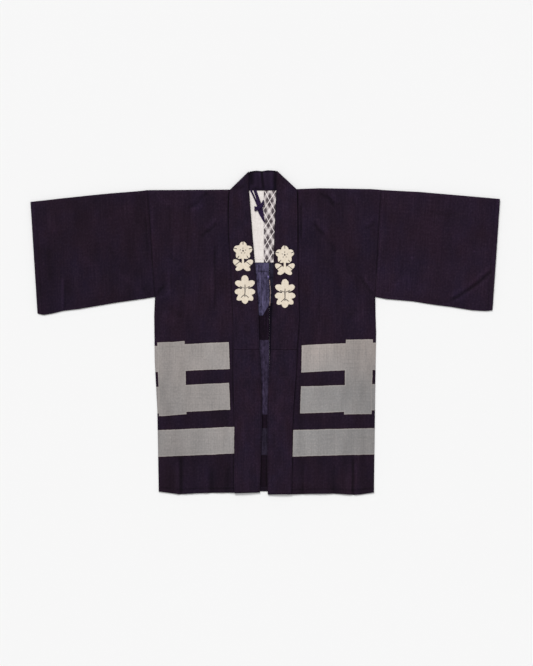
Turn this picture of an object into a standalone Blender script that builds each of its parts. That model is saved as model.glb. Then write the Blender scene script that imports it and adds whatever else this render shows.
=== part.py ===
# A happi coat laid flat on its back, built from the lengths of cloth it is sewn from.
# Metres, +Z up. +Y runs to the neck, +X to the wearer's left, and the back rests on z = 0.
# Tables below are in millimetres. Each cloth piece is a grid of points along the middle
# of its wall, folded where the real length is folded, and then given its thickness.

import math
from collections import namedtuple

import bmesh
import bpy

MM = 0.001

# Walls and gaps, in millimetres.
SHELL_WALL = 1.0
LINING_WALL = 1.0
COLLAR_WALL = 2.2
TAPE_WALL = 1.2
SEAM_GAP = 0.3
SLACK = 0.05

# Heights of the middle of each layer, in millimetres.
BACK_LEVEL = SHELL_WALL / 2
LINING_LEVEL = SHELL_WALL + SEAM_GAP + LINING_WALL / 2
FRONT_LEVEL = 3.8
SIDE_SEAM_LEVEL = SHELL_WALL + SEAM_GAP + SHELL_WALL / 2 + SLACK
HEM_LEVEL = 2.7
COLLAR_BACK_LEVEL = COLLAR_WALL / 2 + SLACK
TAPE_LEVEL = LINING_LEVEL + LINING_WALL / 2 + SEAM_GAP + TAPE_WALL / 2

# Places shared by several pieces, in millimetres.
CENTRE_BACK_X = 11.0
BACK_NECK_Y = 386.7
BACK_HEM_Y = -433.0
UNDERARM_Y = 97.0
COLLAR_JOIN_Y = -47.8
LINING_SEAM_X = -3.8
LINING_LOW_Y = 190.8
LINING_RIGHT_X = -92.0
LINING_LEFT_X = 82.0

# How far in from an edge the fronts and creases ease up or down, in millimetres.
SIDE_ROLL = 20.0
HEM_ROLL = 26.0
UNDERARM_EASE = 45.0
COLLAR_LAP = 24.0
BAND_EASE = 30.0
SLEEVE_EASE = 0.14

# Grids of points: stations along a body length, shares across a width.
FRONT_LOW_Y = -437.0
FRONT_TOP_Y = 388.0
LOWER_ROWS = 22
UPPER_ROWS = 15
BACK_ROWS = [350.0, 240.0, UNDERARM_Y, 20.0, -110.0, -240.0, -350.0, BACK_HEM_Y]
EVEN_COLUMNS = 18
ROLL_COLUMNS = [0.0, 0.035, 0.075]
FIRST_EVEN = 0.12
SIDE_COLUMNS = ROLL_COLUMNS + [
    FIRST_EVEN + (1 - FIRST_EVEN) * step / EVEN_COLUMNS for step in range(EVEN_COLUMNS + 1)
]
NECK_COLUMNS = [0.025, 0.2, 0.45, 0.72, 1.0]
SECTION_TOP = [0.0, 0.05, 0.12, 0.21, 0.3, 0.4, 0.5, 0.6, 0.7, 0.79, 0.88, 0.95, 1.0]
SECTION_BACK = [0.33, 0.67]
BAND_COLUMNS = [0.0, 0.14, 0.3, 0.54, 0.78, 1.0]
BAND_FLAT = 0.3
BACK_NECK_STOPS = [0.16, 0.33, 0.5, 0.67, 0.84]
ARC_STEPS = 5
SMOOTH_UNDER = 40

INDIGO = (0.020, 0.011, 0.021)
WHITE = (0.76, 0.70, 0.67)
LATTICE = (0.36, 0.34, 0.34)
TAPE_BLUE = (0.030, 0.018, 0.045)

Edge = namedtuple("Edge", "y x")
Brink = namedtuple("Brink", "x y")
Station = namedtuple("Station", "top_x top_y low_x low_y level")
Band = namedtuple("Band", "outer_x outer_y inner_x inner_y outer_z inner_z")
Crease = namedtuple("Crease", "start_x start_y end_x end_y height half_width")
Tape = namedtuple("Tape", "x y z width")
Reach = namedtuple("Reach", "degrees reach")

# Body: the side line (armhole, then side seam), the shoulder fold and the front hem.
BODY = {
    "right": {
        "sign": -1,
        "side": [
            Edge(389.0, -319.7),
            Edge(UNDERARM_Y, -298.8),
            Edge(49.0, -300.7),
            Edge(-80.0, -299.0),
            Edge(-210.0, -294.5),
            Edge(-437.0, -292.0),
        ],
        "front_edge": [
            Edge(388.0, -97.0),
            Edge(376.0, -90.0),
            Edge(345.0, -86.5),
            Edge(184.0, -81.0),
            Edge(-28.0, -74.5),
            Edge(-437.0, -72.5),
        ],
        "shoulder": [Brink(-320.0, 388.4), Brink(-96.0, 389.8)],
        "hem": [
            Brink(-292.0, -433.4),
            Brink(-234.0, -441.5),
            Brink(-185.0, -437.7),
            Brink(-72.0, -436.9),
        ],
        "creases": [
            Crease(-232.0, -460.0, -236.0, -335.0, 0.9, 18.0),
            Crease(-290.0, 112.0, -215.0, 190.0, 0.7, 22.0),
            Crease(-300.0, 368.0, -190.0, 318.0, 0.6, 20.0),
            Crease(-139.0, 175.0, -136.0, 30.0, 0.5, 18.0),
        ],
    },
    "left": {
        "sign": 1,
        "side": [
            Edge(389.0, 315.7),
            Edge(242.0, 307.0),
            Edge(UNDERARM_Y, 299.6),
            Edge(0.0, 302.6),
            Edge(-140.0, 300.2),
            Edge(-437.0, 297.5),
        ],
        "front_edge": [
            Edge(388.0, 86.6),
            Edge(376.0, 80.0),
            Edge(345.0, 76.0),
            Edge(184.0, 77.0),
            Edge(44.0, 81.0),
            Edge(-28.0, 74.0),
            Edge(-200.0, 65.0),
            Edge(-440.0, 59.5),
        ],
        "shoulder": [
            Brink(85.7, 391.2),
            Brink(150.0, 393.6),
            Brink(290.0, 391.2),
            Brink(316.0, 389.2),
        ],
        "hem": [
            Brink(59.0, -441.8),
            Brink(186.0, -439.4),
            Brink(241.0, -442.6),
            Brink(259.0, -442.0),
            Brink(297.0, -436.1),
        ],
        "creases": [
            Crease(240.0, -460.0, 237.0, -335.0, 0.9, 18.0),
            Crease(292.0, 108.0, 225.0, 180.0, 0.7, 22.0),
            Crease(302.0, 368.0, 215.0, 320.0, 0.6, 20.0),
            Crease(152.0, 150.0, 147.0, 15.0, 0.5, 18.0),
        ],
    },
}

# Sleeves: flattened tubes, one row for each station from the armhole out to the cuff.
SLEEVES = {
    "right": {
        "stations": [
            Station(-320.2, 388.4, -299.4, 97.0, 3.8),
            Station(-345.0, 387.1, -328.0, 93.3, 4.1),
            Station(-407.0, 382.1, -401.0, 83.6, 4.4),
            Station(-473.0, 376.1, -458.0, 74.4, 4.5),
            Station(-520.0, 371.3, -506.0, 66.4, 4.6),
            Station(-560.0, 367.1, -551.0, 61.0, 4.5),
            Station(-596.0, 362.7, -582.0, 53.4, 4.3),
            Station(-622.0, 359.6, -606.0, 49.4, 4.1),
            Station(-640.0, 357.3, -622.8, 53.2, 4.0),
        ],
        "creases": [
            Crease(-553.0, 44.0, -551.0, 143.0, 0.8, 17.0),
            Crease(-345.0, 352.0, -470.0, 262.0, 0.5, 26.0),
            Crease(-330.0, 120.0, -420.0, 176.0, 0.6, 24.0),
        ],
    },
    "left": {
        "stations": [
            Station(316.3, 389.2, 300.2, 97.0, 3.8),
            Station(340.0, 387.6, 330.0, 91.0, 4.1),
            Station(422.0, 383.3, 403.0, 84.9, 4.4),
            Station(474.0, 378.8, 456.6, 76.1, 4.5),
            Station(532.0, 373.9, 509.0, 69.5, 4.6),
            Station(562.0, 371.2, 538.0, 64.6, 4.5),
            Station(590.0, 368.8, 566.3, 60.3, 4.3),
            Station(622.0, 365.9, 599.0, 59.6, 4.1),
            Station(640.0, 364.3, 616.6, 61.4, 4.0),
        ],
        "creases": [
            Crease(500.0, 78.0, 581.0, 143.0, 0.9, 17.0),
            Crease(345.0, 350.0, 470.0, 268.0, 0.5, 26.0),
            Crease(332.0, 118.0, 415.0, 172.0, 0.6, 24.0),
        ],
    },
}

# Collar: front bands, one row across the band for each station down from the neck.
# The first row of each side lies on the slanted fold where the band turns to the back neck.
COLLAR = {
    "right": {
        "neck": [
            Band(-96.1, 389.7, -45.6, 439.0, 5.95, 5.1),
            Band(-97.2, 377.0, -44.8, 415.0, 5.95, 5.0),
            Band(-98.4, 356.0, -44.0, 384.0, 5.8, 4.6),
            Band(-99.6, 322.0, -40.0, 336.0, 5.7, 4.1),
            Band(-98.0, 258.0, -34.0, 258.0, 5.7, 3.9),
            Band(-93.0, 184.0, -27.5, 184.0, 5.7, 3.9),
            Band(-89.4, 90.0, -19.4, 90.0, 5.7, 3.7),
            Band(-86.6, 20.0, -16.6, 20.0, 5.7, 3.5),
            Band(-86.5, COLLAR_JOIN_Y, -15.4, COLLAR_JOIN_Y, 5.7, 3.4),
        ],
        "lower": [
            Band(-86.5, COLLAR_JOIN_Y, -15.4, COLLAR_JOIN_Y, 5.7, 3.4),
            Band(-87.2, -110.0, -11.2, -110.0, 5.7, 3.2),
            Band(-85.2, -190.0, -9.0, -190.0, 5.7, 3.2),
            Band(-83.4, -262.0, -8.2, -262.0, 5.7, 3.2),
            Band(-84.2, -340.0, -11.0, -340.0, 5.7, 3.2),
            Band(-84.9, -410.0, -13.8, -410.0, 5.7, 3.1),
            Band(-84.2, -438.4, -14.2, -436.6, 4.8, 3.0),
        ],
    },
    "left": {
        "neck": [
            Band(85.7, 391.0, 31.9, 441.4, 5.95, 5.1),
            Band(86.6, 377.0, 31.0, 415.0, 5.95, 5.0),
            Band(87.2, 356.0, 30.0, 384.0, 5.8, 4.6),
            Band(88.0, 322.0, 27.4, 336.0, 5.7, 4.1),
            Band(88.0, 258.0, 24.4, 258.0, 5.7, 3.9),
            Band(89.0, 184.0, 22.8, 184.0, 5.7, 3.9),
            Band(91.4, 90.0, 20.6, 90.0, 5.7, 3.7),
            Band(92.6, 36.0, 17.6, 36.0, 5.7, 3.5),
            Band(86.6, COLLAR_JOIN_Y, 15.4, COLLAR_JOIN_Y, 5.7, 3.4),
        ],
        "lower": [
            Band(86.6, COLLAR_JOIN_Y, 15.4, COLLAR_JOIN_Y, 5.7, 3.4),
            Band(84.6, -110.0, 10.4, -110.0, 5.7, 3.2),
            Band(77.8, -190.0, 6.0, -190.0, 5.7, 3.2),
            Band(74.4, -262.0, 5.6, -262.0, 5.7, 3.2),
            Band(73.8, -340.0, 5.8, -340.0, 5.7, 3.2),
            Band(72.2, -412.0, 6.5, -412.0, 5.7, 3.1),
            Band(71.9, -441.2, 6.5, -442.0, 4.8, 3.0),
        ],
    },
}
BACK_NECK_TOP = [
    Brink(-45.6, 439.0),
    Brink(-25.7, 441.6),
    Brink(-8.2, 440.2),
    Brink(7.4, 442.7),
    Brink(31.9, 441.4),
]

# Hanging tie: two strands from under the back collar, tied together once.
TIE_LONG = [
    Tape(-40.7, 386.2, TAPE_LEVEL, 4.8),
    Tape(-35.4, 378.6, TAPE_LEVEL, 5.0),
    Tape(-29.7, 370.3, TAPE_LEVEL, 5.2),
    Tape(-23.0, 358.8, TAPE_LEVEL, 5.6),
    Tape(-16.2, 346.6, TAPE_LEVEL, 6.4),
    Tape(-11.2, 335.0, TAPE_LEVEL, 7.6),
    Tape(-8.2, 322.4, TAPE_LEVEL, 7.4),
    Tape(-3.6, 309.0, TAPE_LEVEL, 6.0),
    Tape(1.1, 298.8, TAPE_LEVEL, 3.4),
]
TIE_SHORT = [
    Tape(-29.2, 386.2, TAPE_LEVEL, 6.6),
    Tape(-25.6, 378.8, TAPE_LEVEL, 6.4),
    Tape(-22.2, 372.0, TAPE_LEVEL + 0.6, 6.0),
    Tape(-19.4, 364.5, TAPE_LEVEL + 1.9, 6.0),
    Tape(-17.0, 356.8, TAPE_LEVEL + 2.2, 6.0),
]
KNOT_CENTRE = (-14.4, 346.2)
KNOT_THICK = 3.2
KNOT_LOW = TAPE_LEVEL + TAPE_WALL / 2 + SEAM_GAP
KNOT_HIGH = KNOT_LOW + KNOT_THICK
KNOT_OUTLINE = [
    Reach(0, 7.0),
    Reach(36, 9.0),
    Reach(52, 18.2),
    Reach(68, 17.0),
    Reach(80, 8.4),
    Reach(106, 9.4),
    Reach(140, 8.2),
    Reach(180, 9.6),
    Reach(196, 15.4),
    Reach(214, 17.6),
    Reach(226, 14.8),
    Reach(240, 8.6),
    Reach(290, 9.6),
    Reach(330, 8.2),
]


def between(low, high, share):
    return low + (high - low) * share


def read_edge(edge, y):
    """x on an edge listed from the neck down."""
    if y >= edge[0].y:
        return edge[0].x
    for above, below in zip(edge, edge[1:]):
        if y >= below.y:
            return between(below.x, above.x, (y - below.y) / (above.y - below.y))
    return edge[-1].x


def read_brink(brink, x):
    """y on a brink listed from -X to +X."""
    if x <= brink[0].x:
        return brink[0].y
    for near, far in zip(brink, brink[1:]):
        if x <= far.x:
            return between(near.y, far.y, (x - near.x) / (far.x - near.x))
    return brink[-1].y


def soft_step(value, width):
    """0 at an edge, 1 from width on, with a level start and end."""
    share = min(max(value / width, 0.0), 1.0)
    return share * share * (3 - 2 * share)


def crease_height(creases, x, y):
    total = 0.0
    for crease in creases:
        run_x = crease.end_x - crease.start_x
        run_y = crease.end_y - crease.start_y
        share = ((x - crease.start_x) * run_x + (y - crease.start_y) * run_y) / (run_x**2 + run_y**2)
        share = min(max(share, 0.0), 1.0)
        away = math.hypot(x - crease.start_x - share * run_x, y - crease.start_y - share * run_y)
        if away < crease.half_width:
            total += crease.height * (1 + math.cos(math.pi * away / crease.half_width)) / 2
    return total


def fold_arc(high, low, lead, steps=ARC_STEPS):
    """Points of a half turn from a high layer to a low one, as (lead, height), ends left out."""
    radius = (high - low) / 2
    middle = (high + low) / 2
    arc = []
    for step in range(1, steps):
        angle = math.pi * step / steps
        arc.append((lead * radius * math.sin(angle), middle + radius * math.cos(angle)))
    return arc


def plain_material(name, colour, roughness):
    material = bpy.data.materials.new(name)
    material.use_nodes = True
    shader = material.node_tree.nodes["Principled BSDF"]
    shader.inputs["Base Color"].default_value = (*colour, 1.0)
    shader.inputs["Roughness"].default_value = roughness
    shader.inputs["Metallic"].default_value = 0.0
    return material


def add_object(name, mesh, colour, roughness=0.9):
    mesh.materials.append(plain_material(name, colour, roughness))
    mesh.shade_smooth()
    mesh.set_sharp_from_angle(angle=math.radians(SMOOTH_UNDER))
    obj = bpy.data.objects.new(name, mesh)
    obj.parent = bpy.data.objects["happi_coat"]
    bpy.context.scene.collection.objects.link(obj)
    return obj


def add_cloth(name, rows, wall, colour, ring=False):
    """A length of cloth from rows of (x, y, z) points; None marks where the cloth is cut away."""
    form = bmesh.new()
    corners = []
    for row in rows:
        corners.append([form.verts.new([value * MM for value in point]) if point else None for point in row])
    for above, below in zip(corners, corners[1:]):
        count = len(above)
        for column in range(count if ring else count - 1):
            after = (column + 1) % count
            quad = [above[column], above[after], below[after], below[column]]
            if all(quad):
                form.faces.new(quad)
    mesh = bpy.data.meshes.new(name)
    form.to_mesh(mesh)
    form.free()
    obj = add_object(name, mesh, colour)
    thicken = obj.modifiers.new("Wall", "SOLIDIFY")
    thicken.thickness = wall * MM
    thicken.offset = 0.0
    return obj


# Body lengths

def front_height(cut, x, y):
    """Middle of the front's wall: it dips to the side seam and the hem, and rises along each crease."""
    seam_away = abs(read_edge(cut["side"], y) - x)
    seam_dip = (FRONT_LEVEL - SIDE_SEAM_LEVEL) * (1 - soft_step(seam_away, SIDE_ROLL))
    seam_dip *= soft_step(UNDERARM_Y - y, UNDERARM_EASE)
    hem_dip = (FRONT_LEVEL - HEM_LEVEL) * (1 - soft_step(y - read_brink(cut["hem"], x), HEM_ROLL))
    band_away = abs(x - read_edge(cut["front_edge"], y))
    crease_share = soft_step(seam_away, 2 * SIDE_ROLL) * soft_step(band_away - COLLAR_LAP, BAND_EASE)
    height = FRONT_LEVEL - max(seam_dip, hem_dip) + crease_share * crease_height(cut["creases"], x, y)
    return max(height, SIDE_SEAM_LEVEL)


def body_rows(cut):
    """The whole length: front hem, front, shoulder fold, back, back hem."""
    sign = cut["sign"]
    stations = [between(FRONT_LOW_Y, UNDERARM_Y, step / LOWER_ROWS) for step in range(LOWER_ROWS)]
    stations += [between(UNDERARM_Y, FRONT_TOP_Y, step / UPPER_ROWS) for step in range(UPPER_ROWS + 1)]
    radius = (FRONT_LEVEL - BACK_LEVEL) / 2
    spare = [None] * len(NECK_COLUMNS)
    rows = []
    for station in stations:
        row = []
        for share in SIDE_COLUMNS:
            x = between(read_edge(cut["side"], station), read_edge(cut["front_edge"], station), share)
            fold_y = read_brink(cut["shoulder"], x) - radius - SHELL_WALL / 2
            up = (station - FRONT_LOW_Y) / (FRONT_TOP_Y - FRONT_LOW_Y)
            y = between(read_brink(cut["hem"], x), fold_y, up)
            if station == UNDERARM_Y:
                y = between(UNDERARM_Y, y, share)
            row.append((x, y, front_height(cut, x, y)))
        rows.append(row + spare)
    shoulder = rows[-1][: len(SIDE_COLUMNS)]
    for lead, height in fold_arc(FRONT_LEVEL, BACK_LEVEL, 1):
        rows.append([(x, y + lead, height) for x, y, _ in shoulder] + spare)
    neck_x = shoulder[-1][0]
    centre_x = CENTRE_BACK_X + sign * SEAM_GAP / 2
    neck_row = [(between(neck_x, centre_x, share), BACK_NECK_Y, BACK_LEVEL) for share in NECK_COLUMNS]
    rows.append([(x, y, BACK_LEVEL) for x, y, _ in shoulder] + neck_row)
    for station in BACK_ROWS:
        side_x = read_edge(cut["side"], station)
        row = [(between(side_x, neck_x, share), station, BACK_LEVEL) for share in SIDE_COLUMNS]
        row += [(between(neck_x, centre_x, share), station, BACK_LEVEL) for share in NECK_COLUMNS]
        rows.append(row)
    return rows


def add_bodies():
    for side, cut in BODY.items():
        add_cloth(f"body_{side}", body_rows(cut), SHELL_WALL, INDIGO)


# Sleeves

def sleeve_section(station, creases):
    """One flattened ring: top layer from the shoulder fold down, seam edge, back layer up again."""
    radius = (station.level - BACK_LEVEL) / 2
    reach = radius + SHELL_WALL / 2
    span = math.hypot(station.low_x - station.top_x, station.low_y - station.top_y)
    run = ((station.low_x - station.top_x) / span, (station.low_y - station.top_y) / span)

    def place(distance, height):
        return (station.top_x + run[0] * distance, station.top_y + run[1] * distance, height)

    section = []
    for share in SECTION_TOP:
        x, y, z = place(between(reach, span - reach, share), station.level)
        inside = soft_step(min(share, 1 - share), SLEEVE_EASE)
        section.append((x, y, z + inside * crease_height(creases, x, y)))
    for lead, height in fold_arc(station.level, BACK_LEVEL, 1):
        section.append(place(span - reach + lead, height))
    for share in [1.0] + SECTION_BACK[::-1] + [0.0]:
        section.append(place(between(reach, span - reach, share), BACK_LEVEL))
    for lead, height in reversed(fold_arc(station.level, BACK_LEVEL, 1)):
        section.append(place(reach - lead, height))
    return section


def with_halfway(stations):
    """The same stations with one more between each pair."""
    more = [stations[0]]
    for near, far in zip(stations, stations[1:]):
        more.append(Station(*[between(a, b, 0.5) for a, b in zip(near, far)]))
        more.append(far)
    return more


def add_sleeves():
    for side, cut in SLEEVES.items():
        stations = with_halfway(cut["stations"])
        rows = [sleeve_section(stations[0], [])]
        rows += [sleeve_section(station, cut["creases"]) for station in stations[1:]]
        add_cloth(f"sleeve_{side}", rows, SHELL_WALL, INDIGO, ring=True)


# Collar

def band_row(band):
    """Points across the front band: level over the seam with the front, then easing down to its free edge."""
    row = []
    for share in BAND_COLUMNS:
        ease = max(share - BAND_FLAT, 0.0) / (1 - BAND_FLAT)
        row.append(
            (
                between(band.outer_x, band.inner_x, share),
                between(band.outer_y, band.inner_y, share),
                between(band.outer_z, band.inner_z, ease),
            )
        )
    return row


def neck_fold(band, sign):
    """Rows of the slanted fold, from the front band round its outer edge to the back neck."""
    slant_x = band.inner_x - band.outer_x
    slant_y = band.inner_y - band.outer_y
    length = math.hypot(slant_x, slant_y)
    out_x = sign * abs(slant_y) / length
    out_y = abs(slant_x) / length
    top = band_row(band)
    rows = [[] for _ in range(ARC_STEPS + 1)]
    for x, y, z in top:
        radius = (z - COLLAR_BACK_LEVEL) / 2
        inset = radius + COLLAR_WALL / 2
        base_x = x - out_x * inset
        base_y = y - out_y * inset
        turn = [(0.0, z)] + fold_arc(z, COLLAR_BACK_LEVEL, 1) + [(0.0, COLLAR_BACK_LEVEL)]
        for row, (lead, height) in zip(rows, turn):
            row.append((base_x + out_x * lead, base_y + out_y * lead, height))
    return rows


def add_collar():
    right = COLLAR["right"]["neck"]
    left = COLLAR["left"]["neck"]
    right_fold = neck_fold(right[0], -1)
    left_fold = neck_fold(left[0], 1)
    rows = [band_row(band) for band in reversed(right[1:])]
    rows += right_fold
    seam_y = BACK_NECK_Y + SEAM_GAP
    start = right_fold[-1]
    end = left_fold[-1]
    for stop in BACK_NECK_STOPS:
        seam_x = between(start[0][0], end[0][0], stop)
        free_x = between(start[-1][0], end[-1][0], stop)
        free_y = read_brink(BACK_NECK_TOP, free_x)
        row = []
        for share in BAND_COLUMNS:
            row.append((between(seam_x, free_x, share), between(seam_y, free_y, share), COLLAR_BACK_LEVEL))
        rows.append(row)
    rows += left_fold[::-1]
    rows += [band_row(band) for band in left[1:]]
    add_cloth("collar_upper", rows, COLLAR_WALL, INDIGO)
    for side, bands in COLLAR.items():
        first = bands["lower"][0]
        first = first._replace(outer_y=first.outer_y - SEAM_GAP, inner_y=first.inner_y - SEAM_GAP)
        rows = [band_row(band) for band in [first] + bands["lower"][1:]]
        add_cloth(f"collar_lower_{side}", rows, COLLAR_WALL, INDIGO)


# Lining

def add_lining():
    """Two widths on the inside of the back, joined a little right of the middle."""
    halves = {
        "lining_plain": (LINING_RIGHT_X, LINING_SEAM_X - SEAM_GAP / 2, WHITE),
        "lining_lattice": (LINING_SEAM_X + SEAM_GAP / 2, LINING_LEFT_X, LATTICE),
    }
    for name, (low_x, high_x, colour) in halves.items():
        rows = []
        for y in [BACK_NECK_Y, between(BACK_NECK_Y, LINING_LOW_Y, 0.5), LINING_LOW_Y]:
            rows.append([(x, y, LINING_LEVEL) for x in (low_x, between(low_x, high_x, 0.5), high_x)])
        add_cloth(name, rows, LINING_WALL, colour)


# Hanging tie

def add_tape(name, route):
    rows = []
    for index, stop in enumerate(route):
        before = route[max(index - 1, 0)]
        after = route[min(index + 1, len(route) - 1)]
        run_x = after.x - before.x
        run_y = after.y - before.y
        length = math.hypot(run_x, run_y)
        half_x = -run_y / length * stop.width / 2
        half_y = run_x / length * stop.width / 2
        rows.append([(stop.x - half_x, stop.y - half_y, stop.z), (stop.x + half_x, stop.y + half_y, stop.z)])
    add_cloth(name, rows, TAPE_WALL, TAPE_BLUE)


def add_knot():
    form = bmesh.new()
    ring = []
    for point in KNOT_OUTLINE:
        angle = math.radians(point.degrees)
        x = KNOT_CENTRE[0] + point.reach * math.cos(angle)
        y = KNOT_CENTRE[1] + point.reach * math.sin(angle)
        ring.append(form.verts.new((x * MM, y * MM, KNOT_LOW * MM)))
    face = form.faces.new(ring)
    raised = bmesh.ops.extrude_face_region(form, geom=[face])["geom"]
    lifted = [item for item in raised if isinstance(item, bmesh.types.BMVert)]
    bmesh.ops.translate(form, verts=lifted, vec=(0, 0, (KNOT_HIGH - KNOT_LOW) * MM))
    bmesh.ops.recalc_face_normals(form, faces=form.faces)
    mesh = bpy.data.meshes.new("tie_knot")
    form.to_mesh(mesh)
    form.free()
    add_object("tie_knot", mesh, TAPE_BLUE)


def main():
    for obj in list(bpy.data.objects):
        bpy.data.objects.remove(obj, do_unlink=True)
    coat = bpy.data.objects.new("happi_coat", None)
    bpy.context.scene.collection.objects.link(coat)
    add_bodies()
    add_sleeves()
    add_collar()
    add_lining()
    add_tape("tie_long", TIE_LONG)
    add_tape("tie_short", TIE_SHORT)
    add_knot()


main()
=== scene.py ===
import math
import random

import bmesh
import bpy
import numpy as np
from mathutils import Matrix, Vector
from mathutils.bvhtree import BVHTree


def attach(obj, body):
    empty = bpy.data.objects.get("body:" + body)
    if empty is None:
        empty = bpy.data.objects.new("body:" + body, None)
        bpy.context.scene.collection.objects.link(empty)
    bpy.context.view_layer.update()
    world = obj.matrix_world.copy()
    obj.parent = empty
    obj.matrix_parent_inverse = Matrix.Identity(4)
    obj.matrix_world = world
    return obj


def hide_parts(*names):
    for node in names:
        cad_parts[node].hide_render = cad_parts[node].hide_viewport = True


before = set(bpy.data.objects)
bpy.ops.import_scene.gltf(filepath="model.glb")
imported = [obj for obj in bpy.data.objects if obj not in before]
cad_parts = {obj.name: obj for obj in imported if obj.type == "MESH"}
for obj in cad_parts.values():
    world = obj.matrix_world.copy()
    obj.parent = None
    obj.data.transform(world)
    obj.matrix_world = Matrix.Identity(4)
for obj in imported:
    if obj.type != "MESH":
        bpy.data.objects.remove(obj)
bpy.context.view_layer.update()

mm = 0.001
random.seed(11)


def hexColour(code):  # sRGB hex to linear
    channels = [int(code[i:i + 2], 16) / 255 for i in (1, 3, 5)]
    return (*[c / 12.92 if c <= 0.04045 else ((c + 0.055) / 1.055) ** 2.4 for c in channels], 1.0)


# Camera, straight above the coat, and a plain soft light
viewpoint = {"lens": 85, "sensor": 36, "tall": 1.8175, "midX": 0.0035, "midY": -0.0014}
studio = {
    "dome": 0.512, "horizon": 0.93, "key": 2.42, "keyTurn": (math.radians(-48), math.radians(-24), 0),
    "keySoft": math.radians(22), "floor": "#f6f6f6", "floorSize": 90, "floorZ": -0.0002,
}


def addObject(name, data):
    obj = bpy.data.objects.new(name, data)
    bpy.context.scene.collection.objects.link(obj)
    return obj


def addCamera(settings):
    camera = addObject("camera", bpy.data.cameras.new("camera"))
    camera.data.lens = settings["lens"]
    camera.data.sensor_width = settings["sensor"]
    camera.data.clip_end = 60.0
    away = settings["tall"] * settings["lens"] / settings["sensor"]
    camera.location = (settings["midX"], settings["midY"], away)
    bpy.context.scene.camera = camera


def fillNode(tree, node, settings):
    # inputs in order, or by number or name, or other properties; an output among them is linked,
    # and text in an input is a colour
    for name, value in settings.items() if isinstance(settings, dict) else enumerate(settings):
        if name == "stops":  # a colour ramp's places and colours
            ramp = node.color_ramp.elements
            while len(ramp) < len(value):
                ramp.new(0.5)
            for stop, (place, code) in zip(ramp, value):
                stop.position, stop.color = place, hexColour(code)
        elif not (isinstance(name, int) or name in node.inputs):
            setattr(node, name, value)
        elif isinstance(value, bpy.types.NodeSocket):
            tree.links.new(value, node.inputs[name])
        else:
            node.inputs[name].default_value = hexColour(value) if isinstance(value, str) else value


def addNode(tree, kind, settings=(), out=0):  # kind names its mode too, as in "Math ADD"
    kind, _, mode = kind.partition(" ")
    node = tree.nodes.new("ShaderNode" + kind)
    if mode:
        setattr(node, "data_type" if kind == "Mix" else "operation", mode)
    fillNode(tree, node, settings)
    return node.outputs[2 if mode == "RGBA" else out]


def newMaterial(name):
    material = bpy.data.materials.new(name)
    material.use_nodes = True
    tree = material.node_tree
    return material, tree, tree.nodes["Principled BSDF"]


def addStudio(settings):
    world = bpy.data.worlds.new("softWhiteRoom")
    world.use_nodes = True
    tree = world.node_tree
    ray = addNode(tree, "SeparateXYZ", [addNode(tree, "TexCoord")], out=slice(3))
    # the low sky is as pale as the floor it meets
    strength = addNode(tree, "MapRange", [ray[2], 0.03, 0.4, settings["horizon"], settings["dome"]])
    fillNode(tree, tree.nodes["Background"], {"Color": (1, 1, 1, 1), "Strength": strength})
    bpy.context.scene.world = world
    bpy.context.scene.view_settings.view_transform = "Standard"

    key = addObject("key", bpy.data.lights.new("key", "SUN"))
    key.data.energy = settings["key"]
    key.data.angle = settings["keySoft"]
    key.rotation_euler = settings["keyTurn"]

    material, tree, shader = newMaterial("paleStudioFloor")  # matt painted board, faintly uneven
    place = addNode(tree, "TexCoord", out=3)
    tone = addNode(tree, "TexNoise", {"Vector": place, "Scale": 2, "Detail": 2})
    colour = addNode(tree, "Mix RGBA", {0: tone, 6: "#f7f7f7", 7: settings["floor"]})
    fillNode(tree, shader, {"Base Color": colour, "Roughness": 0.95, "Specular IOR Level": 0.05})

    half = settings["floorSize"] / 2
    mesh = bpy.data.meshes.new("floor")
    corners = [(x * half, y * half, settings["floorZ"]) for x, y in ((-1, -1), (1, -1), (1, 1), (-1, 1))]
    mesh.from_pydata(corners, [], [(0, 1, 2, 3)])
    mesh.materials.append(material)
    addObject("floor", mesh)


addCamera(viewpoint)
addStudio(studio)
print("camera, light and floor are in")


# Materials. Each cloth reads "cloth", its place in metres: x across, y up the warp, z 0 front, 1 back

cottonThread = 0.0011  # threads are 0.6 mm apart, drawn at 1.1 mm so that they show
cottonIor = 1.53

indigoDye = {
    "cool": "#1d1325", "warm": "#211321", "deep": "#140b16", "light": "#302431", "warp": (300, 11, 1),
    "weft": (10, 300, 1), "grain": (210, 170, 1), "cloud": (10, 6, 1), "slub": 0.3, "mottle": 0.5,
    "bump": 0.5, "rough": 0.92, "sheen": 0.05, "nap": "#4a3f52",
}


def toned(cloth, colour, finish, steps):
    # each step: a noise, where it starts to count, where it counts most, how much, and the tone it lays on
    for key, low, high, most, tone in steps:
        amount = addNode(cloth["tree"], "MapRange", [cloth[key], low, high, 0, most])
        colour = addNode(cloth["tree"], "Mix RGBA", {0: amount, 6: colour, 7: finish[tone]})
    return colour


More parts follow.
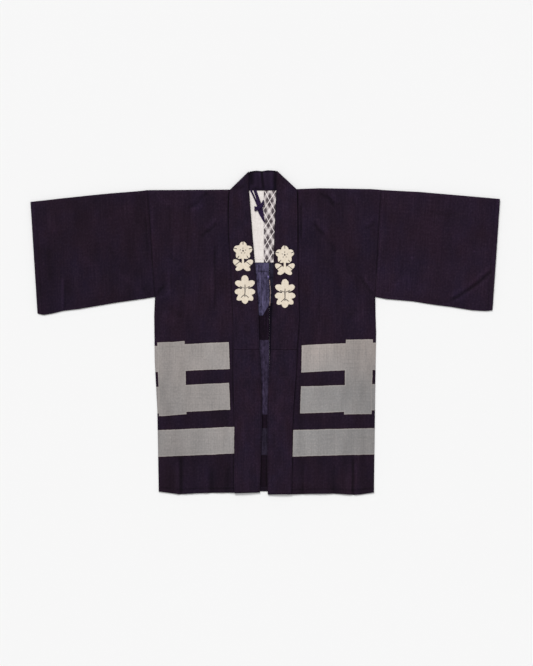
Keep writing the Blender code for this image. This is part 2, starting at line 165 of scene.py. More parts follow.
def wovenCotton(name, finish):
    # Plain-weave cotton: matt, slubbed along warp and weft, dye a little uneven, soft nap at grazing angles
    material, tree, shader = newMaterial(name)
    place = addNode(tree, "Attribute", {"attribute_name": "cloth"}, out=1)
    cloth = {"material": material, "tree": tree, "shader": shader, "place": place}
    cloth["fade"] = addNode(tree, "Attribute", {"attribute_name": "fade"}, out=2)
    for key, detail in (("warp", 4), ("weft", 3), ("grain", 3), ("cloud", 5)):
        spot = addNode(tree, "VectorMath MULTIPLY", [place, finish[key]])
        noise = {"Vector": spot, "Scale": 1, "Detail": detail, "Roughness": 0.6}
        cloth[key] = addNode(tree, "TexNoise", noise)
    # colour: two tones of the dye in clouds, then mottling, then slubs along both threads
    cloud = addNode(tree, "MapRange", [cloth["cloud"], 0.38, 0.62])
    colour = addNode(tree, "Mix RGBA", {0: cloud, 6: finish["cool"], 7: finish["warm"]})
    mottle, slub = finish["mottle"], finish["slub"]
    steps = [
        ("grain", 0.5, 0.3, mottle, "deep"), ("grain", 0.5, 0.72, mottle, "light"),
        ("warp", 0.5, 0.75, slub, "light"), ("weft", 0.5, 0.75, slub * 0.7, "light"),
        ("warp", 0.5, 0.3, slub, "deep"),
    ]
    cloth["colour"] = toned(cloth, colour, finish, steps)
    # threads: over-and-under bumps of a plain weave, rising with the slubs
    angle = addNode(tree, "VectorMath SCALE", {0: place, "Scale": math.pi / cottonThread})
    parts = addNode(tree, "SeparateXYZ", [addNode(tree, "VectorMath SINE", [angle])], out=slice(3))
    rise = addNode(tree, "Math MULTIPLY", [parts[0], parts[1]])
    for key, amount in (("warp", 2.5), ("weft", 2.0)):
        rise = addNode(tree, "Math MULTIPLY_ADD", [cloth[key], amount, rise])
    normal = addNode(tree, "Bump", {"Strength": finish["bump"], "Distance": 0.0001, "Height": rise})
    rough = addNode(tree, "MapRange", [cloth["weft"], 0, 1, finish["rough"] - 0.06, finish["rough"] + 0.05])
    surface = {
        "Normal": normal, "Roughness": rough, "IOR": cottonIor, "Specular IOR Level": 0.1,
        "Sheen Weight": finish["sheen"], "Sheen Roughness": 0.5, "Sheen Tint": finish["nap"],
    }
    fillNode(tree, shader, surface)
    return cloth


def paintShadeAndMarks(cloth, colour=None):
    # "fade" below 0 is painted shade in troughs and seams, above 0 painted highlight on folds and ridges
    tree = cloth["tree"]
    uneven = addNode(tree, "Math MULTIPLY_ADD", [cloth["warp"], 0.6, 0.7])
    fade = addNode(tree, "Math MULTIPLY", [cloth["fade"], uneven])
    strength = addNode(tree, "Math MULTIPLY_ADD", [fade, 0.85, 1])
    strength = addNode(tree, "Math MAXIMUM", [strength, 0.25])
    shaded = addNode(tree, "VectorMath SCALE", {0: colour or cloth["colour"], 3: strength})
    fillNode(tree, cloth["shader"], {"Base Color": shaded})
    return cloth["material"]


def barEdge(tree, place, boxes):
    # how far outside the nearest dyed bar, in metres; below 0 is inside one
    parts = addNode(tree, "SeparateXYZ", [place], out=slice(3))
    nearest = 1.0
    for midX, midY, halfX, halfY, lean, shear in boxes:
        outX = addNode(tree, "Math SUBTRACT", [parts[0], midX * mm])
        outY = addNode(tree, "Math SUBTRACT", [parts[1], midY * mm])
        leant = addNode(tree, "Math MULTIPLY_ADD", [outX, -lean, outY])
        sheared = addNode(tree, "Math MULTIPLY_ADD", [outY, -shear, outX])
        sides = []
        for value, half in ((sheared, halfX), (leant, halfY)):
            size = addNode(tree, "Math ABSOLUTE", [value])
            sides.append(addNode(tree, "Math SUBTRACT", [size, half * mm]))
        nearest = addNode(tree, "Math MINIMUM", [nearest, addNode(tree, "Math MAXIMUM", sides)])
    return nearest


def bleeding(tree, place, scale, amount):
    # shifts a place by up to amount metres, so that dyed edges wander as paste lets dye through
    noise = {"Vector": place, "Scale": scale, "Detail": 5, "Roughness": 0.7}
    shift = addNode(tree, "TexNoise", noise, out=1)
    centred = addNode(tree, "VectorMath SUBTRACT", [shift, (0.5, 0.5, 0.5)])
    most = (amount * 2, amount * 2, 0.0)
    return addNode(tree, "VectorMath MULTIPLY_ADD", [centred, most, place])


# Dyed bars, in millimetres: middle x, middle y, half width, half height, then dy for dx, and dx for dy
barPlan = {
    "right": {
        "sign": -1, "warmth": (-560, 260),
        "front": [
            (-176.5, -66.2, 78.4, 36.4, 0.048, -0.039), (-254.5, -125.6, 37.3, 100.2, 0.065, -0.026),
            (-298, -72.4, 8, 35.2, 0, 0), (-298, -184.3, 8, 36.4, 0, 0),
            (-176, -178, 79, 36.6, 0.050, -0.042), (-200, -298.8, 115.3, 36.2, 0.044, 0),
        ],
        "upright": (-15, -121, 40, 101, 0, 0),
    },
    "left": {
        "sign": 1, "warmth": (-160, -30),
        "front": [
            (175, -68.2, 75.5, 36.8, 0.046, 0.016), (254.7, -120.9, 37.1, 101.9, 0.015, 0.02),
            (298, -64.6, 10, 36.9, 0, 0), (298, -176.2, 10, 35.5, 0, 0),
            (174, -181.2, 77.6, 36.6, 0.033, 0.028), (195, -299, 119.4, 35.8, 0.026, 0.02),
        ],
        "upright": (36, -121, 24, 101, 0, 0),
    },
    # on each side of the back, apart from the uprights at its middle
    "back": [
        (250, -72, 60, 36), (250, -182, 60, 36), (150, -300, 170, 36), (90, -66, 76, 36),
        (90, -178, 76, 36),
    ],
}

barDye = {"warm": "#a49b97", "cool": "#8f8d8d", "deep": "#7d7a79", "light": "#b1aaa6", "halo": "#3a2524"}


def printedIndigo(name, plan):
    # Resist-dyed bars: paste kept the indigo off, so they are the grey of a first weak dye bath
    cloth = wovenCotton(name, indigoDye)
    tree = cloth["tree"]
    place = bleeding(tree, bleeding(tree, cloth["place"], 11, 0.0022), 130, 0.0010)
    layer = addNode(tree, "SeparateXYZ", [cloth["place"]], out=slice(3))
    isBack = addNode(tree, "Math GREATER_THAN", [layer[2], 0.5])
    behind = [
        (plan["sign"] * midX, midY, halfX, halfY, 0, 0) for midX, midY, halfX, halfY in barPlan["back"]
    ]
    front = barEdge(tree, place, plan["front"])
    back = barEdge(tree, place, behind + [plan["upright"]])
    edge = addNode(tree, "Mix FLOAT", {0: isBack, 2: front, 3: back})

    # the upper bars are warmer, the lower ones cooler
    coolest, warmest = plan["warmth"]
    lift = addNode(tree, "MapRange", [layer[1], coolest * mm, warmest * mm])
    tint = addNode(tree, "Math MULTIPLY_ADD", [cloth["cloud"], 1.1, -0.55])
    tint = addNode(tree, "Math ADD", {0: lift, 1: tint, "use_clamp": True})
    grey = addNode(tree, "Mix RGBA", {0: tint, 6: barDye["cool"], 7: barDye["warm"]})
    steps = [
        ("grain", 0.5, 0.3, 0.35, "deep"), ("grain", 0.5, 0.72, 0.35, "light"),
        ("warp", 0.5, 0.28, 0.5, "deep"), ("weft", 0.5, 0.28, 0.35, "deep"),
    ]
    grey = toned(cloth, grey, barDye, steps)
    rim = addNode(tree, "MapRange", [edge, -0.0032, -0.0008, 0, 0.5])
    grey = addNode(tree, "Mix RGBA", {0: rim, 6: grey, 7: barDye["light"]})
    halo = addNode(tree, "MapRange", [edge, 0.0018, 0, 0, 0.7])
    ground = addNode(tree, "Mix RGBA", {0: halo, 6: cloth["colour"], 7: barDye["halo"]})
    inside = addNode(tree, "MapRange", [edge, 0.0003, -0.0003])
    colour = addNode(tree, "Mix RGBA", {0: inside, 6: ground, 7: grey})
    share = addNode(tree, "MapRange", [inside, 0, 1, 1, 0.4])  # painted shade and highlight are weaker on the pale bars
    fade = addNode(tree, "Math MULTIPLY", [cloth["fade"], share])
    outward = addNode(tree, "Math ABSOLUTE", [layer[0]])
    handled = addNode(tree, "MapRange", [outward, 0.14, 0.27, 0.09, -0.11])
    handled = addNode(tree, "Math MULTIPLY", [handled, inside])
    cloth["fade"] = addNode(tree, "Math ADD", [fade, handled])  # paler by the fronts
    return paintShadeAndMarks(cloth, colour)


reverseDye = {**indigoDye, "cool": "#120817", "warm": "#150a14", "deep": "#09040b", "light": "#221626"}

# Inside of the back: lowest y, highest y, slant of the lower edge and where it crosses x 0, two tones
insideTones = {
    "right": [
        (46.5, 191.5, 1.7, 58, "#161125", "#524c69"), (-223.5, -20.8, 0, -400, "#140d1c", "#3a3147"),
        (-334, -261, 0, -400, "#120c18", "#2c2535"),
    ],
    # on the left, the lower tone is a painted shadow, near black under the collar's edge
    "left": [(80.5, 191.5, 0, -400, "#0f0b1a", "#2e2a3c"), (-60, 80.5, 0, -400, "#05010a", "#0f0716")],
}


def reverseIndigo(name, tones):
    # Wrong side of the printed cloth: the bars show through as slate, and the top is faded and mottled
    cloth = wovenCotton(name, reverseDye)
    tree = cloth["tree"]
    parts = addNode(tree, "SeparateXYZ", [bleeding(tree, cloth["place"], 130, 0.0013)], out=slice(3))
    stretched = addNode(tree, "VectorMath MULTIPLY", [cloth["place"], (1, 0.4, 1)])
    spots = addNode(tree, "TexNoise", {"Vector": stretched, "Scale": 190, "Detail": 5, "Roughness": 0.7})
    spots = addNode(tree, "MapRange", [spots, 0.36, 0.66, 0, 0.7])
    blotch = addNode(tree, "TexNoise", {"Vector": stretched, "Scale": 48, "Detail": 3, "Roughness": 0.6})
    for source, low, high in (
        (cloth["grain"], 0.45, 0.8), (cloth["warp"], 0.45, 0.85), (blotch, 0.42, 0.64),
    ):
        share = addNode(tree, "MapRange", [source, low, high, 0, 0.42])
        spots = addNode(tree, "Math ADD", {0: spots, 1: share, "use_clamp": True})
    colour = cloth["colour"]
    # each tone is the cloth's own, except the near-black one, which is painted shadow
    for low, high, slope, crossing, base, pale in tones:
        tone = addNode(tree, "Mix RGBA", {0: spots, 6: base, 7: pale})
        slant = addNode(tree, "Math MULTIPLY_ADD", [parts[0], -slope, parts[1]])
        inside = 1.0
        for value, edge, soft in ((parts[1], low, 1), (parts[1], high, -1), (slant, crossing, 1)):
            step = addNode(tree, "MapRange", [value, (edge - soft) * mm, (edge + soft) * mm])
            inside = addNode(tree, "Math MULTIPLY", [inside, step])
        colour = addNode(tree, "Mix RGBA", {0: inside, 6: colour, 7: tone})
    return paintShadeAndMarks(cloth, colour)


collarDye = {
    **indigoDye, "cool": "#1d1426", "warm": "#231422", "light": "#322534", "kept": "#1d162a",
    "cloud": (14, 7, 1),
}
tapeDye = {
    **indigoDye, "cool": "#211637", "warm": "#291833", "deep": "#150c20", "light": "#3c2e54",
    "cloud": (60, 40, 1), "nap": "#54476a",
}
undyedFinish = {
    "cool": "#e6dedb", "warm": "#ece4df", "deep": "#dad1cc", "light": "#f4efec", "warp": (260, 30, 1),
    "weft": (9, 330, 1), "grain": (210, 170, 1), "cloud": (14, 9, 1), "slub": 0.5, "mottle": 0.5,
    "bump": 0.5, "rough": 0.9, "sheen": 0.08, "nap": "#f8f4f0",
}
creamFinish = {
    **undyedFinish, "cool": "#e4d8c6", "warm": "#e9dcc8", "deep": "#cfc0ab", "light": "#f1e8da",
    "stain": "#bfae9c",
}

latticePlan = {
    "midX": 12, "midY": 360, "turn": 0.05, "halfWide": 16.4, "halfTall": 28.2,
    "ground": [(0, "#463d42"), (0.2, "#7c7376"), (0.5, "#aaa1a1"), (0.75, "#cbc1c0"), (1, "#f3ebe9")],
    # across one repeat: place, how white; one line in the dark checks, three in the pale band, each
    # a thread or two, drawn 0.8 mm wide or more so that they show
    "lines": [
        (0, 1), (0.02, 0.9), (0.045, 0.02), (0.305, 0.02), (0.358, 0.25), (0.395, 0.27), (0.408, 0.85),
        (0.432, 0.85), (0.445, 0.24), (0.472, 0.24), (0.485, 0.95), (0.5, 0.95),
    ],
}


def latticeCotton(name, plan):
    # Yarn-dyed cotton: fine white lines and pale bands on the slant, over fuzzy grey and black checks
    cloth = wovenCotton(name, undyedFinish)
    tree = cloth["tree"]
    place = bleeding(tree, cloth["place"], 260, 0.0005)
    middle = (plan["midX"] * mm, plan["midY"] * mm, 0.0)
    moved = addNode(tree, "VectorMath SUBTRACT", [place, middle])
    turning = {"Vector": moved, "rotation_type": "Z_AXIS", "Angle": plan["turn"]}
    turned = addNode(tree, "VectorRotate", turning)
    parts = addNode(tree, "SeparateXYZ", [turned], out=slice(3))
    tall = addNode(tree, "Math MULTIPLY", [parts[1], 0.5 / plan["halfTall"] / mm])
    total = 0.0
    for sign in (1, -1):
        tilt = sign * 0.5 / plan["halfWide"] / mm
        slope = addNode(tree, "Math MULTIPLY_ADD", [parts[0], tilt, tall])
        away = addNode(tree, "Math PINGPONG", [slope, 0.5])
        stops = [(at, "#" + f"{round(255 * white ** 0.4545):02x}" * 3) for at, white in plan["lines"]]
        total = addNode(tree, "Math ADD", [total, addNode(tree, "ValToRGB", {0: away, "stops": stops})])
    wearAndShade = addNode(tree, "MapRange", [cloth["grain"], 0.3, 0.7, -0.14, 0.14])
    total = addNode(tree, "Math ADD", {0: total, 1: wearAndShade, "use_clamp": True})
    colour = addNode(tree, "ValToRGB", {0: total, "stops": plan["ground"]})
    return paintShadeAndMarks(cloth, colour)


def foldedCollar(name, finish):
    # Doubled collar cotton: the back of the neck, turned from the light in wear, has kept more blue
    cloth = wovenCotton(name, finish)
    tree = cloth["tree"]
    layer = addNode(tree, "SeparateXYZ", [cloth["place"]], out=slice(3))
    kept = addNode(tree, "Math MULTIPLY", [layer[2], 0.5])
    colour = addNode(tree, "Mix RGBA", {0: kept, 6: cloth["colour"], 7: finish["kept"]})
    return paintShadeAndMarks(cloth, colour)


def creamResist(name):
    # Where the paste sat thickest: undyed cream cotton, a little stained inside
    cloth = wovenCotton(name, creamFinish)
    tree = cloth["tree"]
    noise = {"Vector": cloth["place"], "Scale": 210, "Detail": 5, "Roughness": 0.7}
    stain = addNode(tree, "TexNoise", noise)
    amount = addNode(tree, "MapRange", [stain, 0.5, 0.7, 0, 0.35])
    colour = addNode(tree, "Mix RGBA", {0: amount, 6: cloth["colour"], 7: creamFinish["stain"]})
    return paintShadeAndMarks(cloth, colour)


def twistedThread(name, colour, dark):
    # Two-ply sewing cotton: matt, with the twist showing as fine slanted stripes
    material, tree, shader = newMaterial(name)
    place = addNode(tree, "TexCoord", out=3)
    stripes = {"Vector": place, "Scale": 700, "Distortion": 1.5, "bands_direction": "DIAGONAL"}
    twist = addNode(tree, "TexWave", stripes)
    tone = addNode(tree, "Mix RGBA", {0: twist, 6: dark, 7: colour})
    normal = addNode(tree, "Bump", {"Strength": 0.4, "Distance": 0.00005, "Height": twist})
    surface = {
        "Base Color": tone, "Normal": normal, "Roughness": 0.8, "IOR": cottonIor, "Specular IOR Level": 0.2,
    }
    fillNode(tree, shader, surface)
    return material


finishes = {
    "body_right": [
        printedIndigo("barPrintRight", barPlan["right"]),
        reverseIndigo("wrongSideRight", insideTones["right"]),
    ],
    "body_left": [
        printedIndigo("barPrintLeft", barPlan["left"]), reverseIndigo("wrongSideLeft", insideTones["left"]),
    ],
    "sleeve": [paintShadeAndMarks(wovenCotton("indigoCotton", indigoDye))],
    "collar": [foldedCollar("collarCotton", collarDye)],
    "plain": [paintShadeAndMarks(wovenCotton("undyedLining", undyedFinish))],
    "lattice": [latticeCotton("latticeLining", latticePlan)],
    "tape": [paintShadeAndMarks(wovenCotton("indigoTape", tapeDye))], "motif": [creamResist("creamResist")],
    "darkThread": [twistedThread("indigoThread", "#2c2233", "#1a121f")],
    "paleThread": [twistedThread("undyedThread", "#ece4da", "#c9bfb2")],
    "tanThread": [twistedThread("tanThread", "#ab9590", "#75625e")],
}
print("materials are in")


# Cloth in millimetres

def softStep(value, width):  # 0 at an edge, 1 from width on
    share = np.clip(value / width, 0.0, 1.0)
    return share * share * (3 - 2 * share)


def between(low, high, share):
    return low + (high - low) * share


def bell(value, width):  # 1 at 0, falling away on both sides
    return np.exp(-((value / width) ** 2))


def travel(points):  # how far along a line each of its points lies
    return np.concatenate([[0], np.cumsum(np.linalg.norm(np.diff(points, axis=0), axis=1))])


def lineAt(line, y):  # x on a line listed from the neck down as y, x
    rows = np.array(line[::-1])
    return np.interp(y, rows[:, 0], rows[:, 1])


def swell(x, y, sizeX, sizeY, seed):
    # smooth unevenness from -1 to 1, its bumps sizeX by sizeY apart
    grid = np.random.default_rng(seed).uniform(-1, 1, (64, 64))
    placeX = np.asarray(x, float) / sizeX + 900.31
    placeY = np.asarray(y, float) / sizeY + 900.73
    cellX, cellY = np.floor(placeX).astype(int), np.floor(placeY).astype(int)
    shareX, shareY = softStep(placeX - cellX, 1.0), softStep(placeY - cellY, 1.0)
    low = between(grid[cellX % 64, cellY % 64], grid[(cellX + 1) % 64, cellY % 64], shareX)
    high = between(grid[cellX % 64, (cellY + 1) % 64], grid[(cellX + 1) % 64, (cellY + 1) % 64], shareX)
    return between(low, high, shareY)


def creaseHeight(creases, x, y):
    # each crease: from x, y, to x, y, height (below 0 for a trough), half width, bow
    total = np.zeros(np.broadcast(x, y).shape)
    for number, (x0, y0, x1, y1, height, width, bow) in enumerate(creases):
        length = math.hypot(x1 - x0, y1 - y0)
        along = ((x - x0) * (x1 - x0) + (y - y0) * (y1 - y0)) / length**2
        across = ((x - x0) * (y1 - y0) - (y - y0) * (x1 - x0)) / length
        across = across - bow * np.sin(math.pi * np.clip(along, 0, 1))
        across = across - 1.2 * swell(along * length, 0, 22, 9, number)
        fade = softStep(along, 0.22) * softStep(1 - along, 0.22)
        uneven = 0.85 + 0.4 * swell(along * length, 0, 30, 9, 50 + number)
        total += height * fade * uneven * np.exp(-np.abs(across / width) ** 1.5)
    return total


def puckers(x, y, seed):  # short folds beside a seam that runs up the cloth
    return swell(x, y, 30, 8, seed + 3) + 0.6 * swell(x, y, 30, 4.5, seed + 4)


def addCloth(name, points, cloth, fade, wall, materials, ring=False):
    # points, cloth and fade are grids, row by row; not-a-number marks where the cloth is cut away
    rows, columns = points.shape[:2]
    index = np.arange(rows * columns).reshape(rows, columns)
    after = np.roll(index, -1, axis=1)
    across = columns if ring else columns - 1
    corners = [index[:-1, :across], after[:-1, :across], after[1:, :across], index[1:, :across]]
    quads = np.stack(corners, axis=-1).reshape(-1, 4)
    flat = points.reshape(-1, 3)
    present = ~np.isnan(flat[:, 2])
    quads = quads[present[quads].all(axis=1)]
    used = np.zeros(len(flat), bool)
    used[quads] = True
    number = np.cumsum(used) - 1
    quads = number[quads]
    flat = flat[used] * mm

    highest = quads[flat[quads][:, :, 2].mean(axis=1).argmax()]  # this face has to look up
    a, b, c = flat[highest[:3]]
    if np.cross(b - a, c - b)[2] < 0:
        quads = quads[:, ::-1]
    mesh = bpy.data.meshes.new(name)
    mesh.from_pydata(flat.tolist(), [], quads.tolist())
    place = mesh.attributes.new("cloth", "FLOAT_VECTOR", "POINT")
    place.data.foreach_set("vector", (cloth.reshape(-1, 3)[used] * (mm, mm, 1.0)).ravel())
    # "fade": painted shade and painted highlight, with some real marks and uneven tone
    shadingAndMarks = mesh.attributes.new("fade", "FLOAT", "POINT")
    shadingAndMarks.data.foreach_set("value", fade.reshape(-1)[used])
    for material in materials:
        mesh.materials.append(material)
    mesh.shade_smooth()
    obj = addObject(name, mesh)
    if wall:
        thicken = obj.modifiers.new("wall", "SOLIDIFY")
        thicken.thickness = wall * mm
        thicken.offset = 0.0
        thicken.use_quality_normals = True
        thicken.material_offset = len(materials) - 1
    return obj


def placePiece(obj, nodes=()):
    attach(obj, "root")
    if nodes:
        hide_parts(*nodes)
    return obj


def formObject(form, name, material):
    mesh = bpy.data.meshes.new(name)
    form.to_mesh(mesh)
    form.free()
    mesh.materials.append(material)
    mesh.shade_smooth()
    return addObject(name, mesh)


def grids(rows):
    # rows of (x, y, z, cloth x, cloth y, layer, fade) arrays to three grids
    stack = np.array([[np.broadcast_to(value, row[0].shape) for value in row] for row in rows], float)
    stack = stack.transpose(0, 2, 1)
    return stack[:, :, 0:3], stack[:, :, 3:6], stack[:, :, 6]


# Hanging tie: two tapes out of the neck seam, knotted once

upward = np.array((0.0, 0.0, 1.0))
tie = {
    "thick": 1, "longWidth": 9, "shortWidth": 7, "corners": 18, "slack": 0.12, "groove": 0.3,
    # each stop: x, y, z, width
    "long": [
        (-39.4, 388, 2.2, 5.2), (-36.9, 383.6, 2.9, 5.2), (-33.8, 377, 3.1, 5), (-30.6, 370.3, 3.2, 4.8),
        (-26.6, 361.6, 3.2, 5.4), (-22.3, 354.6, 3.3, 8), (-18.2, 347.5, 3.4, 10.5),
        (-14.6, 338.5, 3.3, 14.4), (-12.6, 332, 3.2, 14.8), (-11, 326, 3.1, 13), (-9.2, 320, 3.1, 10.4),
        (-7.2, 314.4, 3.1, 8), (-4.6, 307.4, 3.1, 5.6), (-1.8, 301, 3, 3.6),
    ],
    "short": [
        (-28.3, 388, 2.2, 8.4), (-26.8, 384, 3, 8.4), (-24.3, 377, 3.3, 8.2), (-21.6, 369.2, 3.9, 8.2),
        (-18.8, 361.3, 4.9, 8.4), (-16.8, 354.5, 5.3, 9), (-14.6, 347.5, 5.2, 8),
    ],
    "stub": [
        (-4.5, 361, 5.2, 2.6), (-5.9, 355.1, 5.5, 5.6), (-8.1, 349.6, 5.6, 8), (-10.5, 344.9, 5.3, 9.6),
        (-13.6, 341, 4.9, 10.5), (-18.3, 339, 4.8, 11), (-23, 337.8, 4.7, 11), (-26.9, 337.4, 4.6, 13),
        (-29.5, 337.3, 4.4, 14),
    ],
    "wraps": [
        {"mid": (-13.6, 342.8, 4.7), "turn": -62, "across": 7.8, "high": 2.2, "width": 7.4, "lean": 0},
        {"mid": (-15, 340.6, 4.8), "turn": -26, "across": 6.6, "high": 1.9, "width": 5, "lean": 0.2},
    ],
}


def smoothLine(rows, steps):
    # more rows on a smooth curve through these (Catmull-Rom)
    rows = np.array(rows, float)
    padded = np.vstack([2 * rows[0] - rows[1], rows, 2 * rows[-1] - rows[-2]])
    out = []
    for i in range(1, len(padded) - 2):
        p, q, r, s = padded[i - 1:i + 3]
        for t in np.arange(steps) / steps:
            bend = (2 * p - 5 * q + 4 * r - s) * t**2
            out.append(0.5 * (2 * q + (r - p) * t + bend + (3 * q - p - 3 * r + s) * t**3))
    return np.array(out + [rows[-1]])


def addTape(name, line, thick, material, up=None, loop=False):
    # a flat tape along x, y, z, width: one ring of points for each stop
    middle, width = line[:, :3], line[:, 3]
    run = np.roll(middle, -1, axis=0) - np.roll(middle, 1, axis=0) if loop else np.gradient(middle, axis=0)
    run /= np.linalg.norm(run, axis=1)[:, None]
    side = np.cross(upward if up is None else up, run)
    side /= np.linalg.norm(side, axis=1)[:, None]
    lift = np.cross(run, side)
    angles = np.linspace(0, 2 * math.pi, tie["corners"] + 1)[:-1]
    flatness = np.sign(np.cos(angles)) * np.abs(np.cos(angles)) ** 0.6
    height = np.sign(np.sin(angles)) * np.abs(np.sin(angles)) ** 0.8
    rows = []
    travelled = travel(middle)
    for i in range(len(line)):
        slack = tie["slack"] * math.sin(travelled[i] * 0.9 + width[i])
        # a folded tape's middle dips
        groove = tie["groove"] * bell(flatness, 0.22) * min(1.0, width[i] / 8)
        rise = height * thick / 2 + slack * flatness**2 - groove
        ring = middle[i] + side[i] * (flatness * width[i] / 2)[:, None] + lift[i] * rise[:, None]
        # lighter at the tape's edges, and painted shade where its middle dips
        shadingAndMarks = 0.5 * flatness**8 - 0.5 * groove / tie["groove"]
        rows.append((ring[:, 0], ring[:, 1], ring[:, 2], flatness * width[i] / 2, travelled[i], 0.0, shadingAndMarks))
    if loop:
        rows.append(rows[0])
    points, cloth, fade = grids(rows)
    obj = addCloth(name, points, cloth, fade, 0.0, material, ring=True)
    form = bmesh.new()
    form.from_mesh(obj.data)
    if loop:
        bmesh.ops.remove_doubles(form, verts=form.verts, dist=1e-6)
    else:  # close both ends
        bmesh.ops.holes_fill(form, edges=[e for e in form.edges if e.is_boundary], sides=40)
    bmesh.ops.recalc_face_normals(form, faces=form.faces)
    form.to_mesh(obj.data)
    form.free()
    obj.data.shade_smooth()
    return obj


def joinPieces(name, objects):
    form = bmesh.new()
    for obj in objects:
        form.from_mesh(obj.data)
        bpy.data.objects.remove(obj, do_unlink=True)
    return formObject(form, name, finishes["tape"][0])


def addTie(settings):
    thick, tape = settings["thick"], finishes["tape"]
    longLine, shortLine, stubLine = (smoothLine(settings[key], 4) for key in ("long", "short", "stub"))
    longTape = placePiece(addTape("tie_long_tape", longLine, thick, tape), ["tie_long"])
    shortTape = placePiece(addTape("tie_short_tape", shortLine, thick, tape), ["tie_short"])
    parts = [addTape("stub", stubLine, thick, tape)]
    for wrap in settings["wraps"]:
        turn = math.radians(wrap["turn"])
        axis = np.array([math.cos(turn), math.sin(turn), wrap["lean"]])
        axis /= np.linalg.norm(axis)
        sideways = np.cross(upward, axis)
        sideways /= np.linalg.norm(sideways)
        angles = np.linspace(0, 2 * math.pi, 33)[:-1, None]
        out, rise = np.cos(angles), np.sin(angles)
        line = wrap["mid"] + out * (sideways * wrap["across"] + axis * 0.9) + rise * upward * wrap["high"]
        line = np.hstack([line, np.full((len(line), 1), wrap["width"])])
        parts.append(addTape("wrap", line, thick * 0.9, tape, up=out * sideways + rise * upward, loop=True))
    knot = placePiece(joinPieces("tie_knot_wraps", parts), ["tie_knot"])


addTie(tie)
print("the tie is in")


# Collar: one band folded in half, from each front up, over on the slant, and round the back neck

collar = {
    "wall": 0.42, "half": 0.78, "backLevel": 1.15, "columns": 30, "step": 3, "flat": 0.3,
    "creaseDepth": 1.5, "seamY": 387, "padded": (-44, 31, 387, 442), "puckerY": 392, "topShadeY": 437,
    # down from the neck: outer x, y, inner x, y, outer z, inner z
    "right": {
        "neck": [
            (-96.1, 389.7, -45.6, 439, 5.95, 5.1), (-97.2, 377, -44.8, 415, 5.95, 5),
            (-98.4, 356, -44, 384, 5.8, 4.6), (-99.6, 322, -40, 336, 5.7, 4.1),
            (-98, 258, -34, 258, 5.7, 3.9), (-93, 184, -27.5, 184, 5.7, 3.9),
            (-89.4, 90, -19.4, 90, 5.7, 3.7), (-86.6, 20, -16.6, 20, 5.7, 3.5),
            (-86.5, -47.8, -15.4, -47.8, 5.7, 3.4),
        ],
        "lower": [
            (-86.5, -48.1, -15.4, -48.1, 5.7, 3.4), (-87.2, -110, -11.2, -110, 5.7, 3.2),
            (-85.2, -190, -9, -190, 5.7, 3.2), (-83.4, -262, -8.2, -262, 5.7, 3.2),
            (-84.2, -340, -11, -340, 5.7, 3.2), (-84.9, -410, -13.8, -410, 5.7, 3.1),
            (-84.2, -438.4, -14.2, -436.6, 4.8, 3),
        ],
    },
    "left": {
        "neck": [
            (85.7, 391, 31.9, 441.4, 5.95, 5.1), (86.6, 377, 31, 415, 5.95, 5),
            (87.2, 356, 30, 384, 5.8, 4.6), (88, 322, 27.4, 336, 5.7, 4.1), (88, 258, 24.4, 258, 5.7, 3.9),
            (89, 184, 22.8, 184, 5.7, 3.9), (91.4, 90, 20.6, 90, 5.7, 3.7), (92.6, 36, 17.6, 36, 5.7, 3.5),
            (86.6, -47.8, 15.4, -47.8, 5.7, 3.4),
        ],
        "lower": [
            (86.6, -48.1, 15.4, -48.1, 5.7, 3.4), (84.6, -110, 10.4, -110, 5.7, 3.2),
            (77.8, -190, 6, -190, 5.7, 3.2), (74.4, -262, 5.6, -262, 5.7, 3.2),
            (73.8, -340, 5.8, -340, 5.7, 3.2), (72.2, -412, 6.5, -412, 5.7, 3.1),
            (71.9, -441.2, 6.5, -442, 4.8, 3),
        ],
    },
    "backTop": [(-45.6, 439), (-25.7, 441.6), (-8.2, 440.2), (7.4, 442.7), (31.9, 441.4)],
    "backCreases": [
        (-11.4, 450, -3, 374, -1.5, 3, 0), (-17.5, 450, -9.5, 376, 0.8, 3.6, 0),
        (-5, 450, 3, 376, 0.6, 3.4, 0), (27, 452, 26.6, 368, -1.6, 4.2, 0), (17.5, 450, 18, 376, 0.8, 5, 0),
        (-41, 446, -36, 396, -1.2, 6, 0), (-24, 446, -26, 390, 0.5, 4, 0),
    ],
    "frontCreases": [
        (-90, 392, -52, 400, -0.5, 4, 2), (-72, 400, -66, 310, 0.35, 9, 2), (60, 400, 56, 300, 0.35, 9, 2),
        (-30, 60, -66, 10, 0.3, 9, 2), (40, 120, 62, 40, 0.3, 9, 2), (-60, -200, -56, -330, 0.3, 8, 2),
        (34, -180, 38, -320, 0.3, 8, 2),
    ],
}


# Body: each half is one length, from the front hem over the shoulder to the back hem

